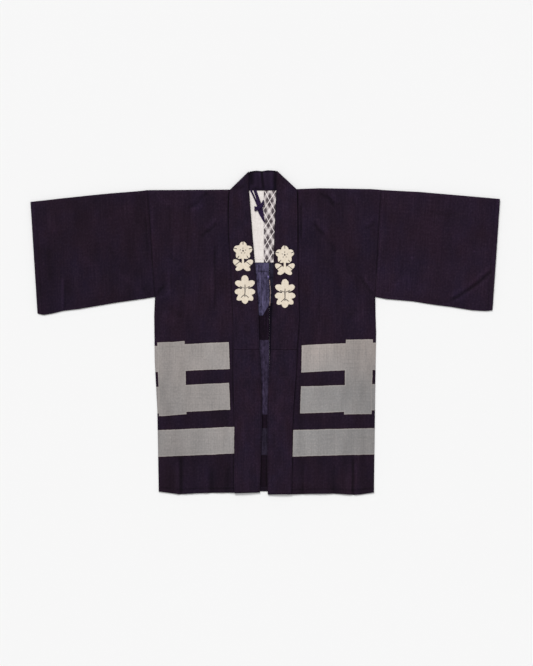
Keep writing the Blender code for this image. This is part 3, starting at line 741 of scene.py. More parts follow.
body = {
    "wall": 0.6, "frontLevel": 3.8, "backLevel": 0.34, "sideLevel": 1.05, "hemLevel": 2.95, "turn": 0.7,
    "turnDeep": (12, 8.5, 5, 2.4), "hemStitches": 12.5, "underarmY": 97, "lowY": -437, "topY": 388,
    "backHemY": -433, "neckY": 386.7, "centreX": 11, "columnStep": 2.6, "rowStep": 3.4,
    "backSteps": [(382, 196, 7), (192, 40, 1.9), (36, -433, 6.5)], "creaseDepth": 1.35,
    # how deep the collar's shade lies on the fronts, by y
    "bandShade": [(-440, 0.5), (240, 0.5), (256, 1.1), (340, 1.3), (356, 2.2), (380, 2.2), (388, 0.6)],
    "joinLine": (-22, 9, 166.7), "threadKnot": (8.6, 151.6),
    # inside the back: x, lowest y, highest y, how pale or dark, half width
    "innerLines": [
        (11.6, 136, 192, -1.1, 1.6), (-2, 19, 52, 1.5, 1.1), (7, -20, 44, 1, 1.6), (-13.6, 60, 188, 0.5, 1),
        (-7, 60, 150, 0.5, 0.9), (-9.8, 60, 185, -0.45, 1.2), (3.5, 80, 160, -0.45, 1.1),
        (-4, -222, -22, 0.4, 2), (-1.5, -262, -222, 0.5, 1.3), (-9, -262, -222, -0.4, 2.4),
        (3.5, -430, -334, -0.45, 2.6), (-10.5, -430, -334, -0.4, 2.4),
    ],
    "right": {
        "sign": -1,
        "side": [(389, -319.7), (97, -300.5), (49, -303), (-80, -301.5), (-210, -294.5), (-437, -290.5)],
        "frontEdge": [(388, -94.5), (376, -90), (345, -86.5), (184, -81), (-28, -74.5), (-437, -72.5)],
        "shoulder": [(-320, 388.4), (-96, 389.8)],
        "hem": [
            (-292, -433.4), (-262, -437.4), (-234, -441.2), (-185, -438.4), (-130, -437), (-72, -436.9),
        ],
        "creases": [
            (-228.5, -480, -231.5, -322, -0.9, 6.4, 0), (-236.5, -480, -238.5, -338, 1, 6, 0),
            (-221, -480, -222, -345, 0.7, 5, 0), (-148, -480, -149, -352, -0.8, 8, 1),
            (-160, -480, -160, -360, 0.5, 7, 0), (-100, -470, -100, -350, -0.5, 6, 0),
            (-137, 262, -135.5, 55, -0.9, 3, 1), (-143.5, 250, -142, 62, 0.6, 5.5, 1),
            (-257, 170, -255, 96, -0.8, 3.2, 0), (-263.5, 176, -262, 100, 0.6, 5, 0),
            (-240, 160, -239, 104, -0.5, 3, 0), (-302, 92, -270, 132, -1.1, 4, -3),
            (-296, 88, -248, 118, 0.7, 6, 2), (-218, 338, -178, 360, -1, 4.5, 2),
            (-186, 356, -152, 384, -0.8, 4, -2), (-206, 330, -166, 350, 0.8, 7, 2),
            (-164, 272, -128, 300, -1.1, 4, 2), (-176, 258, -150, 282, -0.9, 3.6, -2),
            (-168, 284, -132, 312, 0.8, 6.5, 2), (-240, 172, -200, 158, -0.8, 4, -2),
            (-264, 214, -232, 186, -0.7, 5, 2), (-300, 372, -250, 350, 0.7, 9, 3),
            (-282, 60, -240, 20, 0.8, 10, 4), (-262, 74, -220, 40, -0.6, 7, 3),
            (-130, 40, -124, -40, 0.4, 7, 1),
        ],
        "backCreases": [
            (-300, 110, -236, 168, 0.8, 6, 4), (-232, -440, -230, -320, 0.7, 6, 0),
            (-136, -440, -139, -340, 0.6, 7, 1), (-240, 330, -160, 300, 0.7, 8, 4),
            (-120, 150, -100, 20, 0.6, 8, 3), (-60, -250, -64, -380, 0.5, 8, 2),
            (-270, -40, -200, -90, 0.6, 10, 4),
        ],
        "seed": 20,
    },
    "left": {
        "sign": 1,
        "side": [(389, 315.7), (242, 307), (97, 299.6), (0, 302.6), (-140, 300.2), (-437, 296.5)],
        "frontEdge": [
            (388, 84), (376, 79), (345, 76), (184, 77), (44, 81), (-28, 74), (-200, 65), (-440, 59.5),
        ],
        "shoulder": [(85.7, 391.2), (150, 393.6), (290, 391.2), (316, 389.2)],
        "hem": [(59, -441.8), (120, -440.2), (186, -439.4), (241, -442.6), (259, -442), (297, -436.1)],
        "creases": [
            (238.5, -480, 239.5, -330, -1.6, 3, 0), (246, -480, 247, -345, 0.8, 5.5, 0),
            (231, -480, 232, -340, 0.9, 5.5, 0), (163, -480, 163, -350, 0.6, 4, 0),
            (185, -470, 187, -350, -0.7, 7, 0), (110, -480, 112, -346, 0.6, 5, 0),
            (101, -480, 103, -352, -0.6, 4, 0), (98.5, 364, 98, 246, -1.3, 2.8, 0),
            (104.5, 360, 104.5, 240, 0.7, 5, 0), (168, 374, 190, 342, -1.2, 4, -2),
            (150, 382, 172, 366, -0.9, 4, 2), (176, 380, 200, 350, 0.8, 6.5, -2),
            (234, 368, 247, 340, -0.9, 4, 1), (242, 374, 256, 346, 0.6, 6, 1),
            (128, 306, 166, 262, -1, 4, 2), (136, 312, 176, 266, 0.7, 7, 2),
            (160, 262, 196, 214, -0.6, 6, -2), (256, 158, 304, 92, -1.3, 4, 2),
            (268, 160, 306, 104, 0.8, 6.5, 2), (270, 280, 305, 306, -0.9, 4.5, 2),
            (268, 292, 304, 318, 0.7, 6.5, 2), (225, 210, 233, 150, -0.6, 6, 2),
            (152, 150, 147, 15, -0.6, 4.5, 1), (274, 60, 240, 24, 0.7, 9, -3),
            (250, 70, 222, 34, -0.5, 7, -2),
        ],
        "backCreases": [
            (296, 116, 240, 170, 0.8, 6, -4), (236, -440, 238, -330, 0.7, 6, 0),
            (150, -440, 152, -346, 0.6, 7, -1), (170, 340, 250, 290, 0.7, 8, -4),
            (110, 130, 132, 10, 0.6, 8, -3), (62, -230, 60, -370, 0.5, 8, 2),
            (200, -60, 268, -30, 0.6, 10, 4),
        ],
        "seed": 40,
    },
}


def frontPlaces(cut, x, y):
    # distances from the side seam, the collar's edge and the hem, and how far below the armhole, 0 to 1
    hem = np.array(cut["hem"])
    seamAway = np.abs(lineAt(cut["side"], y) - x)
    bandAway = np.abs(x) - np.abs(lineAt(cut["collarEdge"], y))
    hemAway = y - np.interp(x, hem[:, 0], hem[:, 1])
    return seamAway, bandAway, hemAway, softStep(body["underarmY"] - y, 45.0)


def frontCreases(cut, x, y):
    seamAway, bandAway, _, _ = frontPlaces(cut, x, y)
    clear = softStep(seamAway - 1.0, 9.0) * softStep(bandAway, 7.0)
    return clear * body["creaseDepth"] * creaseHeight(cut["creases"], x, y)


def frontHeight(cut, x, y):
    seamAway, bandAway, hemAway, belowArm = frontPlaces(cut, x, y)
    sideDip = (body["frontLevel"] - body["sideLevel"]) * (1 - softStep(seamAway, 20.0)) * belowArm
    sideDip = sideDip * (0.45 + 0.55 * softStep(hemAway, 24.0))
    hemDip = (body["frontLevel"] - body["hemLevel"]) * (1 - softStep(hemAway, 26.0))
    height = body["frontLevel"] - np.maximum(sideDip, hemDip)
    height -= 0.6 * (1 - softStep(seamAway, 4.5)) * (1 - belowArm)
    height += frontCreases(cut, x, y)
    loose = softStep(seamAway - 1.5, 20.0) * softStep(bandAway, 24.0)
    seed = cut["seed"]
    height += loose * (
        0.7 * swell(x, y, 70, 150, seed) + 0.5 * swell(x, y, 17, 60, seed + 1)
        + 0.2 * swell(x + 0.4 * y, y, 9, 15, seed + 2) + 0.12 * swell(x, y, 5, 9, seed + 7)
    )
    pucker = puckers(x, y, seed)
    height += 0.32 * pucker * np.exp(-np.abs(bandAway) / 10.0) * (bandAway > 0)
    height += 0.36 * pucker * np.exp(-seamAway / 9.0) * (1 - belowArm)
    hemPucker = swell(x, y, 7, 30, seed + 5)
    hemPucker = 0.24 * hemPucker + 0.35 * swell(x, y, 30, 50, seed + 6)
    height += hemPucker * np.exp(-np.abs(hemAway - 12) / 9.0)
    height -= 0.3 * bell(hemAway - body["hemStitches"], 1.6)  # hem stitches pull the cloth in
    return np.maximum(height, body["sideLevel"] + 0.2 * softStep(seamAway, 20.0))


def frontShadeAndTone(cut, x, y):
    seamAway, bandAway, hemAway, belowArm = frontPlaces(cut, x, y)
    # painted shade in crease troughs and painted highlight on ridges, and darker towards the hem
    fade = np.clip(0.42 * frontCreases(cut, x, y), -0.55, 0.5) - 0.16 * softStep(-60 - y, 80.0)
    uneven = 0.55 + 0.5 * swell(x, y, 60, 34, cut["seed"] + 8)
    # the collar stands off towards the neck, so its shade is deeper there
    shade = np.interp(y, *zip(*body["bandShade"]))
    fade -= shade * (0.6 + 0.5 * uneven) * bell(np.maximum(bandAway, 0), 2.8)
    # a painted highlight beside the collar's edge
    fade += 0.2 * bell(bandAway - 6.5, 2.4) * uneven
    # painted shade in the armhole seam, a painted highlight beside it
    fade -= 0.5 * uneven * bell(seamAway, 2.4) * (1 - belowArm)
    fade += 0.2 * bell(seamAway - 5.0, 2.0) * (1 - belowArm) * uneven
    # painted shade along the hem stitches, a painted highlight on the hem's fold
    fade -= 0.35 * bell(hemAway - body["hemStitches"], 1.5)
    fade += 0.25 * np.exp(-np.maximum(hemAway, 0) / 2.0)
    # lighter where the cloth's ripples rise: painted highlight and shade
    fade += 0.2 * swell(x, y, 17, 60, cut["seed"] + 1)
    return fade


def backCreases(cut, x, y):
    # the under side's creases run up into the coat
    seamAway = np.abs(lineAt(cut["side"], y) - x)
    clear = softStep(seamAway - 1.0, 12.0) * softStep(np.abs(x) - 50.0, 8.0)
    return clear * softStep(y - body["backHemY"] - 4, 10.0) * creaseHeight(cut["backCreases"], x, y)


def backHeight(cut, x, y):
    # the back lies on the surface; inside, the seam allowance of the centre seam stands up
    seed = cut["seed"] + 10
    rise = 0.3 * (1 + swell(x, y, 45, 70, seed)) / 2 + 0.16 * (1 + swell(x, y, 12, 26, seed + 1)) / 2
    seamAway = np.abs(lineAt(cut["side"], y) - x)
    rise *= softStep(np.abs(x - body["centreX"]) - 0.3, 5.0)
    height = body["backLevel"] + rise * softStep(seamAway, 14.0)
    if cut["sign"] > 0:
        height += 0.5 * (1 - softStep(x - body["centreX"] - 8.6, 1.0))
    return height + backCreases(cut, x, y)


def backShadeAndMarks(cut, x, y):
    # uneven tone, and painted shade along the under side's creases
    fade = 0.15 * swell(x, y, 30, 60, cut["seed"] + 10) - 0.5 * backCreases(cut, x, y)
    for lineX, lowY, highY, amount, width in body["innerLines"]:
        within = softStep(y - lowY, 5.0) * softStep(highY - y, 5.0)
        fade += amount * within * bell(x - lineX, width)
    firstX, lastX, joinY = body["joinLine"]
    across = softStep(x - firstX, 4.0) * softStep(lastX - x, 3.0)
    knotX, knotY = body["threadKnot"]
    knot = 7.0 * bell(x - knotX, 2.4) * bell(y - knotY, 2.6)  # the thread's pale knot
    return fade - 0.8 * across * bell(y - joinY, 2.2) + knot


def bodyRows(cut):
    sign, low, top = cut["sign"], body["lowY"], body["topY"]
    shares = np.array([0, 0.003, 0.008, 0.014, 0.022, 0.032, 0.044])
    shares = np.concatenate([shares, np.linspace(0.06, 1.0, round(205 / body["columnStep"]))])
    neckShares = np.concatenate([np.linspace(0, 0.72, 24), np.linspace(0.74, 1, 22)])[1:]
    spare = np.full(len(neckShares), np.nan)

    def spread(y):
        return between(lineAt(cut["side"], y), lineAt(cut["frontEdge"], y), shares)

    hem = np.array(cut["hem"])
    shoulder = np.array(cut["shoulder"])
    hemX = spread(low)
    hemY = np.interp(hemX, hem[:, 0], hem[:, 1])
    radius = body["turn"] / 2
    rows = []

    def addRow(x, y, z, layer, fade):
        full = [np.concatenate([value, spare]) for value in (x, y, z, x * 0 + fade)]
        rows.append((*full[:3], full[0], full[1], layer, full[3]))

    for inside in body["turnDeep"]:  # hem turned up inside
        addRow(hemX, hemY + inside, frontHeight(cut, hemX, hemY + inside) - body["turn"], 0.0, 0.0)
    # round the hem's fold the cloth is lighter, a painted highlight
    for step in range(5):
        angle = math.pi * step / 4
        y = hemY + radius - radius * math.sin(angle)
        drop = radius + radius * math.cos(angle)
        addRow(hemX, y, frontHeight(cut, hemX, hemY + radius) - drop, 0.0, 0.2)
    length = top - low
    nearHem = [1.2, 2.6, 4.6, 7.2, 10.2, 11.8, 13.2, 15.4]
    ups = np.concatenate([nearHem, np.arange(18.5, length - 1, body["rowStep"])]) / length
    foldX = spread(top)
    frontTop = frontHeight(cut, foldX, foldX * 0 + top)
    foldRadius = (frontTop - body["backLevel"]) / 2
    foldY = np.interp(foldX, shoulder[:, 0], shoulder[:, 1]) - foldRadius - body["wall"] / 2
    for up in list(ups) + [1.0]:
        x = spread(between(low, top, up))
        lineY = np.interp(x, shoulder[:, 0], shoulder[:, 1]) - foldRadius - body["wall"] / 2
        y = between(np.interp(x, hem[:, 0], hem[:, 1]), lineY, up)
        # lighter towards the shoulder fold, a painted highlight
        fade = frontShadeAndTone(cut, x, y) + 0.3 * math.exp(-(1 - up) * length / 6.0)
        addRow(x, y, frontHeight(cut, x, y) if up < 1 else frontTop, 0.0, fade)
    # round the shoulder fold the cloth is lighter, a painted highlight
    for step in range(1, 7):
        angle = math.pi * step / 7
        y = foldY + foldRadius * math.sin(angle)
        z = body["backLevel"] + foldRadius * (1 + math.cos(angle))
        addRow(foldX, y, z, step / 7, 0.3)

    centre = body["centreX"] + sign * 0.15
    neckX = foldX[-1]
    stations = [body["neckY"]]
    for first, last, step in body["backSteps"]:
        stations += list(np.arange(first, last, -step))
    for station in stations + [body["backHemY"] + 0.4]:
        mainX = foldX if station == body["neckY"] else between(lineAt(cut["side"], station), neckX, shares)
        mainY = foldY if station == body["neckY"] else mainX * 0 + station
        x = np.concatenate([mainX, between(neckX, centre, neckShares)])
        y = np.concatenate([mainY, neckShares * 0 + station])
        rows.append((x, y, backHeight(cut, x, y), x, y, 1.0, backShadeAndMarks(cut, x, y)))
    x, _, z = rows[-1][:3]
    for step in range(1, 5):  # back hem, turned up inside
        angle = math.pi * step / 4
        y = body["backHemY"] + radius - radius * math.sin(angle)
        rows.append((x, x * 0 + y, z + radius - radius * math.cos(angle), x, x * 0 + y, 1.0, -0.3))
    for inside in body["turnDeep"][::-1]:
        y = body["backHemY"] + inside
        rows.append((x, x * 0 + y, z + body["turn"], x, x * 0 + y, 1.0, -0.5))
    return rows


pieces = {}
for side in ("right", "left"):
    name = f"body_{side}"
    body[side]["collarEdge"] = [(row[1], row[0]) for row in collar[side]["neck"] + collar[side]["lower"]]
    obj = addCloth(f"{name}_cloth", *grids(bodyRows(body[side])), body["wall"], finishes[name])
    pieces[name] = placePiece(obj, [name])
print("the body is in")


# Sleeves: flattened tubes, seamed to the body at one end and turned in at the cuff

sleeve = {
    "wall": 0.6, "backLevel": 0.34, "lowLevel": 2.3, "turn": 0.7, "turnDeep": (2.4, 5, 9, 13),
    "cuffStitches": 13, "tuck": [(-6, 0.75), (-3, 0.75), (-1.2, 0.72), (-0.4, 0.45)], "step": 3.2,
    "creaseDepth": 1.4,
    # stations out from the armhole: top x, top y, low x, low y, height of the top layer
    "right": {
        "stations": [
            (-320.2, 388.4, -301, 97, 3.8), (-345, 385.6, -329, 92.2, 4.1), (-407, 380.8, -401, 82.2, 4.4),
            (-473, 374.6, -458, 72.6, 4.5), (-520, 369.6, -506, 64.2, 4.6), (-560, 365.4, -551, 58.9, 4.5),
            (-596, 361.2, -582, 51.4, 4.3), (-622, 358.4, -605, 47.6, 4.1), (-640, 356.4, -620.8, 51.4, 4),
        ],
        "creases": [
            (-551, 50, -552.5, 158, 1.4, 3.2, 0), (-545, 54, -546, 150, -0.8, 4, 0),
            (-326, 320, -318, 210, -0.9, 5, 0), (-345, 352, -450, 282, 0.5, 12, 6),
            (-330, 120, -420, 176, 0.7, 9, -4), (-318, 112, -372, 150, -0.7, 6, -3),
            (-600, 330, -560, 262, 0.5, 9, 4), (-430, 240, -396, 190, -0.5, 7, 3),
            (-500, 210, -450, 170, 0.5, 9, 4), (-590, 240, -585, 130, -0.4, 8, 2),
        ],
        "backCreases": [
            (-330, 300, -420, 262, 0.8, 9, 5), (-470, 90, -540, 172, 1, 6, -4),
            (-606, 300, -560, 210, 0.7, 8, 4), (-318, 122, -366, 170, 0.8, 6, 3),
            (-430, 340, -500, 318, 0.6, 8, 3),
        ],
        "specks": [(-626, 285, 1.4, 2.6), (-604, 187, 0.6, 2.4)], "tone": -0.13, "seed": 70, "clothX": 2000,
    },
    "left": {
        "stations": [
            (316.3, 389.2, 300.2, 97, 3.8), (340, 387.6, 330, 91, 4.1), (422, 383.3, 403, 84.9, 4.4),
            (474, 378.8, 456.6, 76.1, 4.5), (532, 373.9, 509, 69.5, 4.6), (562, 371.2, 538, 64.6, 4.5),
            (590, 368.8, 566.3, 60.3, 4.3), (622, 365.9, 601, 58.4, 4.1), (640, 364.3, 619.5, 60.2, 4),
        ],
        "creases": [
            (494, 80, 626, 176, -2, 3.6, 6), (492, 88, 622, 186, 1.1, 7, 6), (500, 74, 624, 160, 0.9, 6, 5),
            (345, 350, 470, 268, 0.5, 12, -6), (332, 118, 400, 165, 0.7, 9, 4),
            (318, 108, 366, 150, -0.7, 5, 3), (396, 156, 392, 108, 0.6, 5, 0),
            (560, 330, 600, 280, -0.5, 8, 4), (440, 330, 520, 322, -0.5, 7, 3),
        ],
        "backCreases": [
            (330, 330, 430, 300, 0.8, 9, -5), (486, 96, 600, 190, 1, 6, 5),
            (600, 320, 548, 240, 0.7, 8, -4), (318, 130, 372, 172, 0.8, 6, -3),
            (400, 220, 460, 180, 0.6, 8, 3),
        ],
        "specks": [(400.6, 203, 1.3, 2.4), (569.8, 220.8, 1.3, 2.6)], "tone": 0.13, "seed": 90,
        "clothX": 3000,
    },
}


def sleeveRows(cut):
    stations = np.array(cut["stations"])
    middle = (stations[:, 0:2] + stations[:, 2:4]) / 2
    along = travel(middle)
    whole, back, seed = along[-1], sleeve["backLevel"], cut["seed"]
    outward = (middle[1] - middle[0]) / along[1]
    nearTop, nearLow = [0, 0.004, 0.01, 0.02], [0.98, 0.99, 0.996, 1.0]
    topShares = np.concatenate([nearTop, np.linspace(0.034, 0.966, 70), nearLow])
    backShares = np.linspace(1, 0, 46)
    arc = [math.pi * step / 6 for step in range(1, 6)]

    def section(position, inset, extra):
        topX, topY, lowX, lowY, level = [np.interp(position, along, stations[:, k]) for k in range(5)]
        topX, lowX = topX + outward[0] * min(position, 0.0), lowX + outward[0] * min(position, 0.0)
        span = math.hypot(lowX - topX, lowY - topY)
        run = np.array([(lowX - topX) / span, (lowY - topY) / span])
        edge = sleeve["wall"] / 2 + inset
        topRadius = (level - inset - back - inset) / 2
        lowRadius = (sleeve["lowLevel"] - inset - back - inset) / 2
        first, last = topRadius + edge, span - lowRadius - edge
        down = between(first, last, topShares)
        x, y = topX + run[0] * down, topY + run[1] * down
        fromEdge = np.minimum(down - first, last - down)
        z = level - (level - sleeve["lowLevel"]) * (1 - softStep(last - down, 22.0))
        z -= 0.6 * (1 - softStep(position, 4.5)) * softStep(fromEdge, 6.0)
        bulge = 0.4 * softStep(position - 3.0, 2.5) * (1 - softStep(position - 10.5, 2.5))
        z += bulge * softStep(fromEdge, 10.0)
        fromStitches = whole - position - sleeve["cuffStitches"]
        loose = softStep(fromEdge, 22.0) * softStep(position - 2.0, 16.0)
        creases = softStep(fromEdge, 9.0) * softStep(position, 8.0) * creaseHeight(cut["creases"], x, y)
        z += sleeve["creaseDepth"] * creases
        z += loose * (
            0.7 * swell(x, y, 80, 130, seed) + 0.4 * swell(x, y, 24, 50, seed + 1)
            + 0.2 * swell(x, y + 0.3 * x, 12, 10, seed + 2) + 0.1 * swell(x, y, 6, 6, seed + 7)
        )
        pucker = puckers(x, y, seed)
        z += 0.36 * pucker * math.exp(-abs(position) / 9.0) * softStep(fromEdge, 8.0)
        z += 0.14 * pucker * math.exp(-abs(fromStitches) / 6.0) * softStep(fromEdge, 8.0)
        z -= 0.2 * bell(fromStitches, 1.8) * softStep(fromEdge, 8.0)
        z += 0.3 * bell(last - down - 9.0, 4.5)  # seam allowance under the cloth
        z = np.maximum(z, back + 1.7) - inset
        base = back + inset
        lowRadius, topRadius = (z[-1] - back - inset) / 2, (z[0] - back - inset) / 2
        lowArc = [(last + lowRadius * math.sin(a), base + lowRadius * (1 + math.cos(a))) for a in arc]
        topArc = [(first - topRadius * math.sin(a), base + topRadius * (1 - math.cos(a))) for a in arc]
        under = between(first, last, backShares)
        underX, underY = topX + run[0] * under, topY + run[1] * under
        underEdge = softStep(np.minimum(under - first, last - under), 12.0) * softStep(position - 2.0, 14.0)
        underCreases = underEdge * creaseHeight(cut["backCreases"], underX, underY)
        wave = 0.3 * (1 + swell(underX, underY, 50, 80, seed + 9)) * underEdge
        down = np.concatenate([down, [p[0] for p in lowArc], under, [p[0] for p in topArc]])
        underZ = base + underCreases + wave
        z = np.concatenate([z, [p[1] for p in lowArc], underZ, [p[1] for p in topArc]])
        halfway, even = np.full(len(arc), 0.5), np.zeros(len(arc))
        layer = np.concatenate([topShares * 0, halfway, under * 0 + 1, halfway])
        # painted shade in crease troughs and painted highlight on ridges
        fade = np.concatenate([np.clip(0.5 * creases, -0.55, 0.5), even, -0.5 * underCreases, even])
        fade += cut["tone"] + extra
        # painted highlights along the top and low folds
        fade += 0.25 * np.exp(-np.abs(down - first) / 5.0) + 0.2 * np.exp(-np.abs(span - down) / 4.0)
        # painted shade in the armhole seam, uneven along it, a painted highlight beside it, and painted
        # shade along the cuff stitches
        seam = 0.5 + 0.5 * swell(down * 0, down, 60, 34, seed + 8)
        fade -= 0.5 * seam * bell(position, 2.4)
        fade += 0.2 * bell(position - 6.0, 3.0)
        fade -= 0.3 * bell(fromStitches, 1.6)
        x, y = topX + run[0] * down, topY + run[1] * down
        # lighter where the ripples rise: painted highlight and shade
        fade += 0.2 * swell(x, y, 24, 50, seed + 1)
        for speckX, speckY, amount, radius in cut["specks"]:  # lint
            speck = np.exp(-((x - speckX) ** 2 + (y - speckY) ** 2) / radius**2)
            fade += amount * (1 - layer) * speck
        return x, y, z, cut["clothX"] + position, -down + 700.0 * layer, layer, fade

    radius = sleeve["turn"] / 2
    nearSeam = [0, 0.8, 1.8, 3.0, 4.4, 6.0, 8.0, 10.0, 12.0, 14.0]
    nearCuff = whole - np.array([15.5, 14.0, 13.0, 12.0, 10.5, 8.0, 5.5, 3.2, 1.5, radius])
    spots = np.concatenate([nearSeam, np.arange(17.5, whole - 17, sleeve["step"]), nearCuff])
    rows = [section(spot, inset, -0.4) for spot, inset in sleeve["tuck"]]  # seam allowance, inside the body, darkened as painted shade
    # lighter towards and round the cuff's fold, a painted highlight
    rows += [section(spot, 0.0, 0.2 * math.exp(-(whole - spot) / 3.0)) for spot in spots]
    for step in range(1, 5):
        angle = math.pi * step / 4
        rows.append(section(whole - radius + radius * math.sin(angle), radius * (1 - math.cos(angle)), 0.2))
    for inside in sleeve["turnDeep"]:
        rows.append(section(whole - inside, sleeve["turn"], 0.0))
    return rows


for side in ("right", "left"):
    name = f"sleeve_{side}"
    grid = grids(sleeveRows(sleeve[side]))
    obj = addCloth(f"{name}_cloth", *grid, sleeve["wall"], finishes["sleeve"], ring=True)
    pieces[name] = placePiece(obj, [name])
print("the sleeves are in")


# Collar cloth

def spacedBands(table, step):
    rows = np.array(table, float)
    middle = (rows[:, 0:2] + rows[:, 2:4]) / 2
    along = travel(middle)
    spots = np.linspace(0, along[-1], max(3, round(along[-1] / step)))
    fine = np.stack([np.interp(spots, along, rows[:, k]) for k in range(rows.shape[1])], axis=1)
    for _ in range(3):  # eases the corners between rows
        fine[1:-1] = 0.25 * fine[:-2] + 0.5 * fine[1:-1] + 0.25 * fine[2:]
    return fine


def bandMiddle(band):
    # points across the band's middle, drawn in a little so that its rounded edges reach the outline
    start, end = np.array(band[0:2]), np.array(band[2:4])
    inward = (end - start) / np.linalg.norm(end - start) * (collar["half"] + collar["wall"] / 2)
    shares = np.linspace(0, 1, collar["columns"])
    flat = between((start + inward)[:, None], (end - inward)[:, None], shares)
    ease = np.maximum(shares - collar["flat"], 0) / (1 - collar["flat"])
    return np.stack([flat[0], flat[1], between(band[4], band[5], ease)], axis=1)


def neckFold(band, sign):
    # rows of the slanted fold, from the front band round its outer edge to the back neck
    start, end = np.array(band[0:2]), np.array(band[2:4])
    slant = (end - start) / np.linalg.norm(end - start)
    out = np.array([sign * abs(slant[1]), abs(slant[0])])
    rows = []
    base = bandMiddle(band)
    radius = (base[:, 2] - collar["backLevel"]) / 2
    inset = radius + collar["half"] + collar["wall"] / 2
    for step in range(10):
        angle = math.pi * step / 9
        lead = radius * math.sin(angle) - inset
        z = collar["backLevel"] + radius * (1 + math.cos(angle))
        rows.append(np.stack([base[:, 0] + out[0] * lead, base[:, 1] + out[1] * lead, z], axis=1))
    return rows


def bandRing(rows, half, relief, lying):
    # the folded band round its middle: top layer, fold, under layer, seam edge; relief is the painted shade
    # and highlight of its creases and folds, and lying is 1 where it goes round the back of the neck
    middle = np.array(rows)
    acrossRun = np.gradient(middle, axis=1)
    alongRun = np.gradient(middle, axis=0)
    normal = np.cross(acrossRun, alongRun)
    normal /= np.linalg.norm(normal, axis=2)[:, :, None]
    if normal[0, 0, 2] < 0:
        normal = -normal
    outward = acrossRun / np.linalg.norm(acrossRun, axis=2)[:, :, None]
    half = np.broadcast_to(half, middle.shape[:2])[:, :, None]
    turns = [half * (normal * math.cos(a) + outward * math.sin(a)) for a in np.arange(1, 6) * math.pi / 6]
    fold = [(middle + turn)[:, -1:] for turn in turns]
    seam = [(middle - turn)[:, :1] for turn in turns]
    layers = [middle + normal * half, *fold, (middle - normal * half)[:, ::-1], *seam]
    points = np.concatenate(layers, axis=1)
    count = middle.shape[1]
    wide = np.linspace(0, 70, count)
    bend = np.linspace(70, 72, 5)
    place = np.concatenate([wide, bend, 72 + wide, 72 + bend])
    cloth = np.zeros(points.shape)
    cloth[:, :, 0] = place
    cloth[:, :, 1] = travel(middle[:, count // 2])[:, None]
    cloth[:, :, 2] = lying.mean(axis=1)[:, None]
    fade = np.zeros(points.shape[:2])
    fade[:, :count] = relief
    fade[:, count + 5:2 * count + 5] = relief[:, ::-1]
    fade[:, count - 2:count + 7] -= 0.25  # the fold is turned from the light
    return points, cloth, fade


def collarRelief(rows, seed):
    # soft unevenness and creases on the front bands, folds on the back neck
    middle = np.array(rows)
    x, y = middle[:, :, 0], middle[:, :, 1]
    isFront = softStep(middle[:, :, 2] - 2.4, 0.8)
    ripple = 0.2 * swell(x, y, 15, 24, seed + 1)
    wave = 0.3 * swell(x, y, 40, 90, seed) + ripple + 0.07 * swell(x, y, 6, 7, seed + 3)
    pucker = 0.16 * swell(x, y, 40, 7, seed + 2)
    edge = np.exp(-np.arange(middle.shape[1]) / 3.0)[None, :]
    creases = collar["creaseDepth"] * creaseHeight(collar["frontCreases"], x, y)
    middle[:, :, 2] += isFront * (wave + 0.15 + pucker * edge + creases)
    lying = 1 - isFront
    firstX, lastX, lowY, topY = collar["padded"]
    domed = softStep(topY - y, 12.0) * softStep(y - lowY, 12.0)
    domed *= softStep(x - firstX, 8.0)
    domed *= softStep(lastX - x, 6.0)
    folds = collar["creaseDepth"] * creaseHeight(collar["backCreases"], x, y) * softStep(y - 384, 10.0)
    middle[:, :, 2] += lying * np.maximum(domed * 1.5 + folds, 0.0)
    # painted shade in troughs and painted highlight on ridges of the creases, folds and ripples
    fade = isFront * 0.5 * creases + lying * 0.55 * folds + ripple
    # painted shade and highlight of small puckers along the neck seam
    puckerShading = 0.8 * swell(x, y, 4, 20, seed + 4) * np.exp(-np.abs(y - collar["puckerY"]) / 6.0)
    edgeShade = 0.5 * bell(y - collar["topShadeY"], 2.2) + 0.08
    return middle, np.clip(fade + lying * (puckerShading - edgeShade), -0.72, 0.5), lying


def addCollar():
    right, left = (spacedBands(collar[side]["neck"], collar["step"]) for side in ("right", "left"))
    rightFold, leftFold = neckFold(collar["right"]["neck"][0], -1), neckFold(collar["left"]["neck"][0], 1)
    rows = [bandMiddle(band) for band in right[:1:-1]] + rightFold
    start, end = rightFold[-1], leftFold[-1]
    top = np.array(collar["backTop"])
    inset = collar["half"] + collar["wall"] / 2
    shares = np.linspace(0, 1, collar["columns"])
    for stop in np.linspace(0.03, 0.97, 44):
        seamX, freeX = between(start[0, 0], end[0, 0], stop), between(start[-1, 0], end[-1, 0], stop)
        freeY = np.interp(freeX, top[:, 0], top[:, 1]) - inset
        ease = softStep(np.array(min(stop, 1 - stop)), 0.12)
        seamY = between(start[0, 1] if stop < 0.5 else end[0, 1], collar["seamY"] + inset, ease)
        x, y = between(seamX, freeX, shares), between(seamY, freeY, shares)
        rows.append(np.stack([x, y, x * 0 + collar["backLevel"]], axis=1))
    rows += leftFold[::-1] + [bandMiddle(band) for band in left[2:]]
    middle, relief, lying = collarRelief(rows, 120)
    bands = {"collar_upper": bandRing(middle, collar["half"], relief, lying)}
    for side, seed in (("right", 130), ("left", 140)):
        rows = [bandMiddle(band) for band in spacedBands(collar[side]["lower"], collar["step"])]
        middle, relief, lying = collarRelief(rows, seed)
        half = np.full(middle.shape[:2], collar["half"])
        half[-2:] = [[0.55], [0.3]]  # pressed flat at the hem
        bands[f"collar_lower_{side}"] = bandRing(middle, half, relief, lying)
    for name, grid in bands.items():
        obj = addCloth(f"{name}_band", *grid, collar["wall"], finishes["collar"], ring=True)
        pieces[name] = placePiece(obj, [name])


addCollar()
print("the collar is in")


# Lining: two widths inside the back, hemmed at the foot

lining = {
    "wall": 0.45, "level": 1.74, "topY": 386.7, "lowY": 190.8, "hem": 8.5, "turn": 0.52, "step": 2,
    "plain": {"from": -92, "to": -3.95, "seed": 160}, "lattice": {"from": -3.65, "to": 82, "seed": 170},
}


